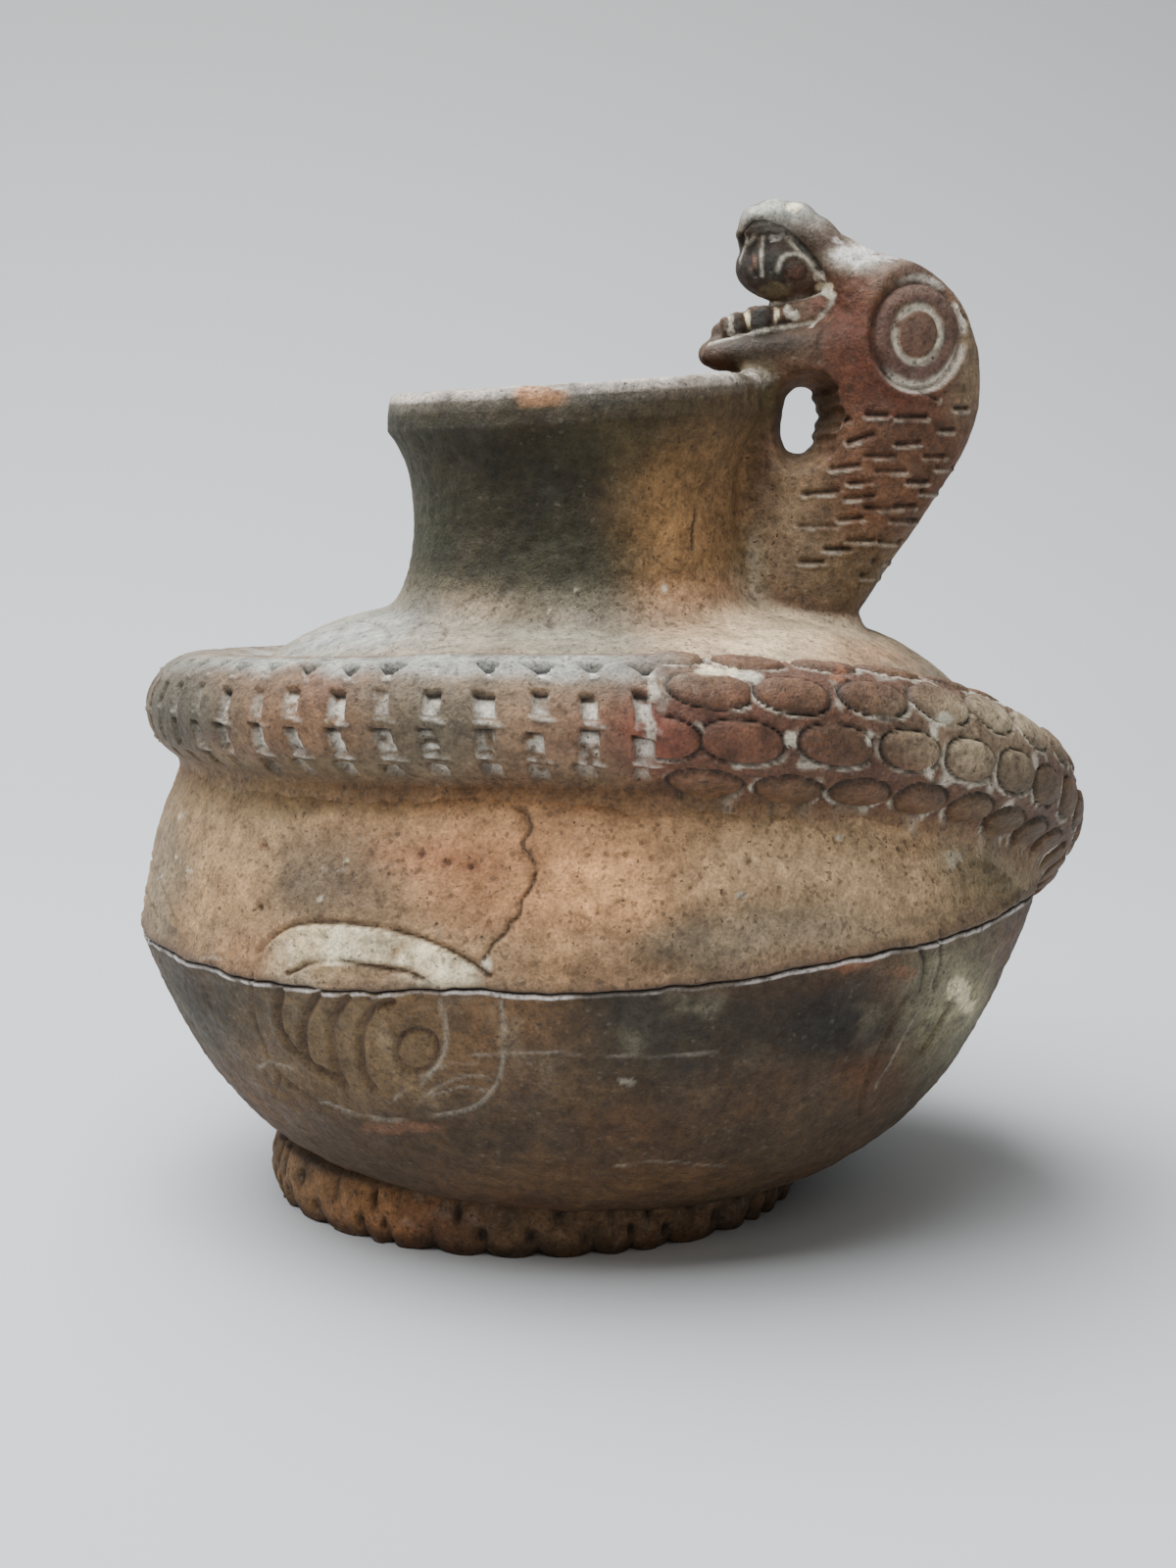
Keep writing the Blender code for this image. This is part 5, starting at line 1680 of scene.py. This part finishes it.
class HeadLines:
    """Lines carved on the head, on both its sides."""

    def __init__(self):
        self.lines = []
        for width, depth, colour, share, pixels in HEAD_LINES:
            line = on_head(smooth_line(pixels, 4.0), head_form)
            for side in (line, line * MIRROR):
                self.lines.append((width, depth, colour, share, side))

    def relief(self, points):
        relief = np.zeros(len(points))
        stains_and_shade = []
        for width, depth, colour, share, line in self.lines:
            distance = off_line(points, line, 3.0)
            stain = bell(distance, width)
            relief -= depth * stain - 0.15 * (depth == 0) * stain
            stains_and_shade.append((colour, share * stain * ramp(noise(points, 3.0, 732), -0.95, -0.3)))
        return relief, stains_and_shade


def cheek_relief(x, y, z):
    """The gap under the gums and the roll of the lower lip."""
    px = x - REST_X
    pz = z - RIM_HEIGHT
    reach = ramp(px, 9.0, 4.0) * ramp(np.abs(y), 3.0, 5.0)
    line = 9.2 + 0.17 * (px + 8.0)
    return 0.5 * reach * bell(pz - line + 2.6, 1.8)


class Nicks:
    """Small cuts down the serpent's neck, on both sides."""

    def __init__(self):
        ends = []
        for x, y, length, tilt in NICKS:
            c, s = math.cos(math.radians(tilt)), math.sin(math.radians(tilt))
            ends += [(x - 0.5 * length * c, y + 0.5 * length * s)]
            ends += [(x + 0.5 * length * c, y - 0.5 * length * s)]
        hits = on_head(ends)
        self.lines = [hits[2 * i:2 * i + 2] for i in range(len(NICKS))]
        self.lines += [line * MIRROR + np.array([0.0, 0.0, 1.6]) for line in self.lines]

    def relief(self, points):
        cut = np.zeros(len(points))
        lip = np.zeros(len(points))
        for line in self.lines:
            distance = off_line(points, line, 3.0)
            above = points[:, 2] - 0.5 * (line[0, 2] + line[1, 2])
            cut = np.maximum(cut, bell(distance, 0.48))
            lip = np.maximum(lip, bell(distance, 0.34, 1.05) * ramp(above, -0.35, -0.75))
        # The cut takes painted shadow, and the lip below it painted highlight.
        return -1.25 * cut + 0.3 * lip, cut, lip


def plain_head(x, y, z):
    return np.minimum(trunk_off(x, y, z), limb_off(x, y, z, UPPER_JAW))


def on_head(pixels, form_of=plain_head):
    """Where the picture's pixels fall on the form of the head and neck."""
    ray = rays(pixels)
    steps = np.arange(*HEAD_DISTANCES)
    points = CAMERA_PLACE + ray[:, None, :] * steps[None, :, None]
    x, y, z = flatten(points).T
    form = form_of(x, y, z).reshape(len(ray), -1)
    first = np.argmax(form < 0, axis=1)
    missed = first == 0
    first[missed] = np.argmin(form[missed], axis=1)
    return CAMERA_PLACE + ray * steps[first][:, None]


def head_carving(points, nicks, lines):
    x, y, z = points.T
    eye, (ring, white, pupil, dark, disc) = eye_relief(x, y, z)
    cuts, cut, lip = nicks.relief(points)
    drawn, stains_and_shade = lines.relief(points)
    relief = eye + cheek_relief(x, y, z) + cuts + drawn
    relief += 0.28 * layered(points, 7.0, 701) + 0.17 * layered(points, 2.6, 711)
    gums = ramp(np.hypot((x - REST_X - 6.0) / 9.0, (z - RIM_HEIGHT - 17.0) / 4.5), 1.2, 0.8)
    relief += 0.55 * gums * layered(points, 1.9, 712)
    recess = ((x - 55.0) / 3.4) ** 2 + ((z - 174.0) / 8.0) ** 2
    relief -= 1.6 * np.exp(-recess) * ramp(-y, 2.0, 5.0)
    return relief, (ring, white, pupil, dark, cut, lip, disc), stains_and_shade


def surface_net(field, origin, step):
    """Quads where a field on a grid changes sign, left open where they meet the grid's sides."""
    inside = field < 0
    cells = tuple(n - 1 for n in field.shape)
    total = np.zeros(cells + (3,))
    count = np.zeros(cells)
    corners = [np.array(corner) for corner in np.ndindex(2, 2, 2)]
    for a in corners:
        for axis in range(3):
            if a[axis]:
                continue
            b = a.copy()
            b[axis] = 1
            sa = tuple(slice(a[k], a[k] + cells[k]) for k in range(3))
            sb = tuple(slice(b[k], b[k] + cells[k]) for k in range(3))
            crossing = inside[sa] != inside[sb]
            fa, fb = field[sa][crossing], field[sb][crossing]
            place_on_edge = np.tile(a.astype(float), (len(fa), 1))
            place_on_edge[:, axis] += fa / (fa - fb)
            total[crossing] += place_on_edge
            count[crossing] += 1
    used = count > 0
    number = np.full(cells, -1, dtype=np.int64)
    number[used] = np.arange(used.sum())
    index = np.argwhere(used)
    points = origin + step * (index + total[used] / count[used][:, None])
    quads = []
    for axis in range(3):
        other = [k for k in range(3) if k != axis]
        low = [slice(None)] * 3
        high = [slice(None)] * 3
        low[axis] = slice(0, field.shape[axis] - 1)
        high[axis] = slice(1, field.shape[axis])
        change = inside[tuple(low)] != inside[tuple(high)]
        at = np.argwhere(change)
        keep = np.all([(at[:, k] > 0) & (at[:, k] < cells[k]) for k in other], axis=0)
        at = at[keep]
        ring = []
        for da, db in ((0, 0), (1, 0), (1, 1), (0, 1)):
            cell = at.copy()
            cell[:, other[0]] -= da
            cell[:, other[1]] -= db
            ring.append(number[tuple(cell.T)])
        ring = np.column_stack(ring)
        turned_over = inside[tuple(low)][change][keep]
        if axis == 1:
            turned_over = ~turned_over
        ring[turned_over] = ring[turned_over][:, ::-1]
        quads.append(ring)
    return points, np.concatenate(quads)


HEAD_PATCHES = [
    # Painted highlight: bluish white on the top of the snout.
    (795, 212, 60, 22, (0.80, 0.83, 0.84), 0.85),
    (840, 230, 40, 30, (0.24, 0.19, 0.17), 0.6),
    # Painted highlight: near white on the top of the head.
    (876, 262, 32, 14, (1.0, 0.96, 0.92), 0.95),
    (945, 275, 50, 18, (0.16, 0.12, 0.11), 0.6),
    (870, 330, 40, 60, (0.160, 0.052, 0.032), 0.85),
    (900, 395, 55, 40, (0.17, 0.052, 0.032), 0.8),
    (990, 350, 26, 80, (0.50, 0.38, 0.26), 0.6),
    (960, 300, 60, 60, MAROON, 0.4),
    (775, 350, 70, 22, (0.060, 0.048, 0.040), 0.90),
    (822, 318, 24, 14, (0.24, 0.16, 0.12), 0.8),
    (785, 270, 50, 38, (0.024, 0.022, 0.018), 0.97),
    (900, 500, 70, 60, (0.25, 0.115, 0.065), 0.7),
    (880, 585, 60, 40, (0.26, 0.185, 0.105), 0.7),
    (800, 550, 50, 70, (0.42, 0.31, 0.22), 0.8),
    (815, 480, 30, 40, TAN, 0.4),
    # Painted shade in the recess beside the hole under the throat.
    (845, 415, 14, 30, (0.050, 0.042, 0.024), 0.6),
    (770, 580, 16, 36, PALE, 0.35),
]


def head():
    """The serpent's neck and head in one form with its carving, open at both sides of its root."""
    axes = [np.arange(low, high, HEAD_STEP) for low, high in zip(HEAD_LOW, HEAD_HIGH)]
    field = head_form(*np.meshgrid(*axes, indexing="ij", sparse=True))
    points, quads = surface_net(field, HEAD_LOW, HEAD_STEP)
    for _ in range(HEAD_PASSES):
        value = head_form(*points.T)
        slope = [head_form(*(points + probe).T) - head_form(*(points - probe).T)
                 for probe in HEAD_PROBE * np.eye(3)]
        slope = np.column_stack(slope) / (2 * HEAD_PROBE)
        size = np.maximum((slope**2).sum(axis=1), 0.3)
        move = -(value / size)[:, None] * slope
        points = points + np.clip(move, -0.4, 0.4)
    out = unit(slope)
    relief, masks, drawn = head_carving(points, Nicks(), HeadLines())
    to_jar = jar_off(*points.T, 0.0)
    near_jar = ramp(to_jar, 3.0, 0.6)
    relief += (SHOULDER_RELIEF * wall_relief(points)[0] - relief) * near_jar
    plain = points
    points = points + out * relief[:, None]
    ring, white, pupil, dark, cut, lip, disc = masks
    tint = clouds(plain, [MAROON, BROWN, DARK_BROWN, MAROON], 22.0, 721)
    tint = painted(plain, out, tint, HEAD_PATCHES, 9.0)
    tint = mixed(tint * HEAD_TONE, ground(plain, out), ramp(to_jar, 5.0, 0.5))
    tint = weathered(plain, tint)
    tint = dotted(plain, out, tint, HEAD_SPOTS)
    worn = ramp(noise(plain, 3.0, 731), -0.8, 0.0)
    # The eye's disc, pale ring, pale crescents and pupil; painted shade at the edges of the eye's
    # grooves; painted shadow in the nicks and painted highlight on their lower lips; then the
    # carved lines' colours, whose dark ones are painted shade.
    tint = lay_stains_and_painted_light(tint, [
        (EYE_DISC, 0.75 * disc),
        (PALE, 0.85 * ring * worn),
        (EYE_WHITE, 0.95 * white * worn),
        (BLACK, 0.65 * dark * ramp(noise(plain, 3.5, 733), -0.6, 0.2)),
        (EYE_PUPIL, 0.7 * pupil),
        (BLACK, 0.85 * cut),
        (PALE, 0.50 * lip * ramp(noise(plain, 2.0, 734), -0.6, 0.5)),
    ] + drawn)
    dry = dryness(plain, 0.60, 0.12, 7.0, 741)
    make_mesh("serpent_neck_and_head", points, tint, dry, quads)


# The foot

FOOT_COLUMNS = 1150
FOOT_FACE_ROWS = 30
FOOT_HOLES = ((0.72, 0.5), (0.34, 0.08))
FOOT_PATCHES = [
    (300, 1190, 50, 50, (0.33, 0.20, 0.115), 0.8),
    (372, 1228, 60, 34, (0.50, 0.26, 0.125), 0.85),
    (420, 1250, 90, 40, RUST, 0.45),
    (600, 1250, 140, 50, (0.24, 0.155, 0.100), 0.6),
    (770, 1225, 70, 40, (0.24, 0.175, 0.125), 0.6),
]


def foot():
    """A ring of clay under the bowl, pinched into two staggered rows of lumps."""
    azimuth = np.linspace(0, 2 * math.pi, FOOT_COLUMNS, endpoint=False)
    inner = FOOT_RADIUS - FOOT_WIDTH
    face = np.linspace(0, 1, FOOT_FACE_ROWS)
    section = [(inner + 0.8, 0.0), (FOOT_RADIUS - 0.5 * FOOT_WIDTH, 0.0)]
    section += [(FOOT_RADIUS - 2.9 + 2.6 * math.sin(math.pi * (0.12 + 0.76 * t)), FOOT_HEIGHT * t)
                for t in face]
    section += [(FOOT_RADIUS - 5.0, FOOT_HEIGHT + 2.0), (inner + 2.0, FOOT_HEIGHT + 1.0),
                (inner, 6.0)]
    along = azimuth / (2 * math.pi) * FOOT_LOBES + 0.45 * azimuth_noise(azimuth, 22.0, 801)
    strength = 0.75 + 0.35 * azimuth_noise(azimuth, 30.0, 802)
    upper = np.abs(np.cos(math.pi * along)) ** 0.6
    lower = np.abs(np.cos(math.pi * (along + 0.42))) ** 0.6
    pitch = 2 * math.pi * FOOT_RADIUS / FOOT_LOBES
    rows = []
    shade_rows = []
    for k, (radius, height) in enumerate(section):
        t = height / FOOT_HEIGHT
        size = 1.0 if 2 <= k < 2 + FOOT_FACE_ROWS else 0.0
        in_upper = float(ramp(np.array(t), 0.40, 0.62))
        lump = (1 - in_upper) * lower + in_upper * upper
        hole = np.zeros(FOOT_COLUMNS)
        for row, (middle, offset) in enumerate(FOOT_HOLES):
            place_in_row = along + offset
            near = np.round(place_in_row).astype(np.int64)
            here = lots(near, row, 860, 3)
            aside = (place_in_row - near - 0.16 * (here[0] - 0.5)) * pitch / 0.85
            beyond = (t - middle - 0.12 * (here[1] - 0.5)) * FOOT_HEIGHT / 1.5
            hole = np.maximum(hole, np.exp(-(aside**2) - beyond**2) * ramp(here[2], 0.15, 0.4))
        push = size * (1.5 * strength * (lump - 0.85) - 1.7 * hole)
        lift = size * 1.3 * max(0.0, 1 - 3.2 * t) * (1 - lower)
        line = np.column_stack([
            FOOT_OFFSET + (radius + push) * np.cos(azimuth),
            (radius + push) * np.sin(azimuth),
            np.maximum(height + lift, 0.0),
        ])
        rows.append(line)
        gap = 0.8 * float(ramp(np.array(t), 0.9, 1.0))
        shade_rows.append(size * np.clip(0.9 * (1 - lump) ** 1.5 + hole + gap, 0, 1))
    shade = np.array(shade_rows).ravel()
    base = flatten(np.array(rows))
    relief = 0.55 * layered(base, 5.0, 811) + 0.28 * layered(base, 2.0, 821)
    flat_part = (base[:, 2] < 0.2) | (np.repeat(np.arange(len(section)), FOOT_COLUMNS) < 2)
    relief = np.where(flat_part, 0.0, relief - 0.15)
    out = base - np.array([FOOT_OFFSET, 0, 0])
    out[:, 2] = 0
    out = unit(out)
    base = base + out * relief[:, None]
    tint = clouds(base, [BROWN, RUST, DARK_BROWN, BROWN], 18.0, 831)
    tint = painted(base, out, tint, FOOT_PATCHES)
    tint = weathered(base, tint * FOOT_TONE)
    # Painted shade: black in the gaps between the lumps, in the holes and where the foot meets the
    # bowl. The lowest 5 mm grow darker towards the floor.
    tint = mixed(tint, BLACK, 0.72 * shade)
    tint = tint * (0.45 + 0.55 * ramp(base[:, 2], 0.0, 5.0))[:, None]
    high_spots = (1 - shade) * ramp(noise(base, 3.0, 841), 0.2, 0.9)
    tint = mixed(tint, 0.5 * DUST, 0.30 * high_spots)
    dry = dryness(base, 0.7, 0.1, 6.0, 851)
    make_mesh("foot_ring", base, tint, dry, grid_quads(len(section), FOOT_COLUMNS, True))


# Fired clay

def clay_material():
    """Fired clay: its colours come from the piece, and its grain and pores from the nodes."""
    material = bpy.data.materials.new("fired_clay")
    material.use_nodes = True
    tree = material.node_tree
    nodes = tree.nodes
    link = tree.links.new
    shader = nodes["Principled BSDF"]
    where = nodes.new("ShaderNodeTexCoord").outputs["Object"]

    def made(kind, **values):
        """A new node with values on its inputs."""
        node = nodes.new("ShaderNode" + kind)
        for name, value in values.items():
            node.inputs[name].default_value = value
        return node

    def painted_on(name):
        node = made("Attribute")
        node.attribute_name = name
        return node

    def grain(scale, detail, roughness=0.6):
        node = made("TexNoise", Scale=scale, Detail=detail, Roughness=roughness)
        link(where, node.inputs["Vector"])
        return node.outputs["Fac"]

    def bump(height, strength, distance):
        node = made("Bump", Strength=strength, Distance=distance)
        link(height, node.inputs["Height"])
        return node

    def curve(value, *stops):
        node = nodes.new("ShaderNodeValToRGB")
        ramp_node = node.color_ramp
        while len(ramp_node.elements) < len(stops):
            ramp_node.elements.new(0.5)
        for element, (at, grey) in zip(ramp_node.elements, stops):
            element.position = at
            element.color = (grey, grey, grey, 1)
        link(value, node.inputs["Fac"])
        return node.outputs["Color"]

    def multiply(a, b):
        node = made("MixRGB", Fac=1.0)
        node.blend_type = "MULTIPLY"
        link(a, node.inputs["Color1"])
        link(b, node.inputs["Color2"])
        return node.outputs["Color"]

    def over(base, colour, share):
        node = made("MixRGB", Color2=(*colour, 1))
        link(share, node.inputs["Fac"])
        link(base, node.inputs["Color1"])
        return node.outputs["Color"]

    coarse_height = grain(430.0, 5.0, 0.68)
    sand_height = grain(1500.0, 3.0)
    fine = curve(sand_height, (0.30, 0.70), (0.5, 1.0), (0.70, 1.30))
    sandy = curve(coarse_height, (0.32, 0.62), (0.5, 1.0), (0.68, 1.28))
    blotch = curve(grain(130.0, 4.0), (0.3, 0.82), (0.5, 1.0), (0.7, 1.18))
    colour = multiply(multiply(multiply(painted_on("tint").outputs["Color"], fine), sandy), blotch)
    grains = made("TexVoronoi", Scale=1250.0)
    link(where, grains.inputs["Vector"])
    picked = made("SeparateColor")
    link(grains.outputs["Color"], picked.inputs["Color"])
    pale_grains = curve(picked.outputs["Red"], (0.975, 0.0), (0.990, 0.09))
    colour = over(colour, 1.15 * DUST, pale_grains)
    dark_grains = curve(picked.outputs["Green"], (0.93, 0.0), (0.96, 0.50))
    colour = over(colour, 0.5 * DARK_BROWN, dark_grains)
    pores = curve(grain(700.0, 2.0), (0.285, 0.85), (0.325, 0.0))
    colour = over(colour, 0.4 * DARK_BROWN, pores)
    link(colour, shader.inputs["Base Color"])
    rough = made("Math")
    rough.operation = "MULTIPLY_ADD"
    link(curve(grain(600.0, 3.0), (0.3, 0.0), (0.7, 1.0)), rough.inputs[0])
    rough.inputs[1].default_value = 0.22
    link(painted_on("dryness").outputs["Fac"], rough.inputs[2])
    rough.use_clamp = True
    link(rough.outputs["Value"], shader.inputs["Roughness"])
    shader.inputs["Specular IOR Level"].default_value = 0.42
    coarse = bump(coarse_height, 0.75, 0.0009)
    sand = bump(sand_height, 0.7, 0.0004)
    link(coarse.outputs["Normal"], sand.inputs["Normal"])
    link(sand.outputs["Normal"], shader.inputs["Normal"])
    return material


FLOOR_COLOUR = (0.59, 0.60, 0.605)
# The wall's darker grey is painted shade, where it stands farther from the light.
WALL_COLOUR = (0.40, 0.41, 0.40)
WALL_SHADES_FROM = (0.04, 0.42)


def backdrop_material():
    """Pale grey that darkens slowly up the wall, as painted shade farther from the light."""
    material = bpy.data.materials.new("backdrop")
    material.use_nodes = True
    nodes = material.node_tree.nodes
    nodes["Principled BSDF"].inputs["Base Color"].default_value = (*FLOOR_COLOUR, 1)
    nodes["Principled BSDF"].inputs["Roughness"].default_value = 0.85
    link = material.node_tree.links.new
    place_node = nodes.new("ShaderNodeTexCoord")
    axes = nodes.new("ShaderNodeSeparateXYZ")
    share = nodes.new("ShaderNodeMapRange")
    colour = nodes.new("ShaderNodeMixRGB")
    share.inputs["From Min"].default_value = WALL_SHADES_FROM[0]
    share.inputs["From Max"].default_value = WALL_SHADES_FROM[1]
    colour.inputs["Color1"].default_value = (*FLOOR_COLOUR, 1)
    colour.inputs["Color2"].default_value = (*WALL_COLOUR, 1)
    link(place_node.outputs["Object"], axes.inputs["Vector"])
    link(axes.outputs["Z"], share.inputs["Value"])
    link(share.outputs["Result"], colour.inputs["Fac"])
    link(colour.outputs["Color"], nodes["Principled BSDF"].inputs["Base Color"])
    return material


# Camera, light and floor

def camera():
    lens = bpy.data.cameras.new("camera")
    lens.sensor_fit = "AUTO"
    lens.sensor_width = SENSOR
    lens.lens = FOCAL_PIXELS * SENSOR / IMAGE_HEIGHT
    lens.clip_start = 0.01
    thing = placed("camera", lens)
    thing.location = Vector((CAMERA_PLACE + AXIS) * MM)
    thing.rotation_euler = (math.radians(90) - CAMERA_DIP, 0, 0)
    bpy.context.scene.camera = thing


def backdrop():
    """A pale floor that sweeps up into a wall far behind."""
    back, wide, bend, top = 1.0, 3.0, 0.5, 2.2
    profile = [(-1.6, 0.0), (back - bend, 0.0)]
    for i in range(1, 17):
        turn = 0.5 * math.pi * i / 16
        profile.append((back - bend + bend * math.sin(turn), bend - bend * math.cos(turn)))
    profile.append((back, top))
    mesh = bpy.data.meshes.new("backdrop")
    points = [(x, y, z) for y, z in profile for x in (-wide, wide)]
    faces = [(2 * i, 2 * i + 1, 2 * i + 3, 2 * i + 2) for i in range(len(profile) - 1)]
    mesh.from_pydata(points, [], faces)
    for face in mesh.polygons:
        face.use_smooth = True
    mesh.materials.append(backdrop_material())
    thing = placed("backdrop", mesh)


def area_light(name, place_at, aim, size, power, colour):
    data = bpy.data.lights.new(name, "AREA")
    data.shape = "RECTANGLE"
    data.size, data.size_y = size
    data.energy = power
    data.color = colour
    thing = placed(name, data)
    thing.location = place_at
    thing.rotation_euler = (Vector(aim) - Vector(place_at)).to_track_quat("-Z", "Y").to_euler()


def lighting():
    aim = (0.0, 0.0, 0.08)
    area_light("skylight", (-0.34, -0.04, 1.15), aim, (1.6, 1.2), 47.0, (0.94, 0.97, 1.0))
    area_light("room", (0.2, -1.2, 0.85), aim, (1.0, 0.8), 3.0, (1.0, 0.92, 0.80))
    world = bpy.data.worlds.new("room")
    world.use_nodes = True
    background = world.node_tree.nodes["Background"]
    background.inputs["Color"].default_value = (0.80, 0.88, 1.0, 1)
    background.inputs["Strength"].default_value = 0.14
    bpy.context.scene.world = world


CLAY = clay_material()
camera()
backdrop()
lighting()
bowl()
belly()
shoulder()
coil()
head()
foot()
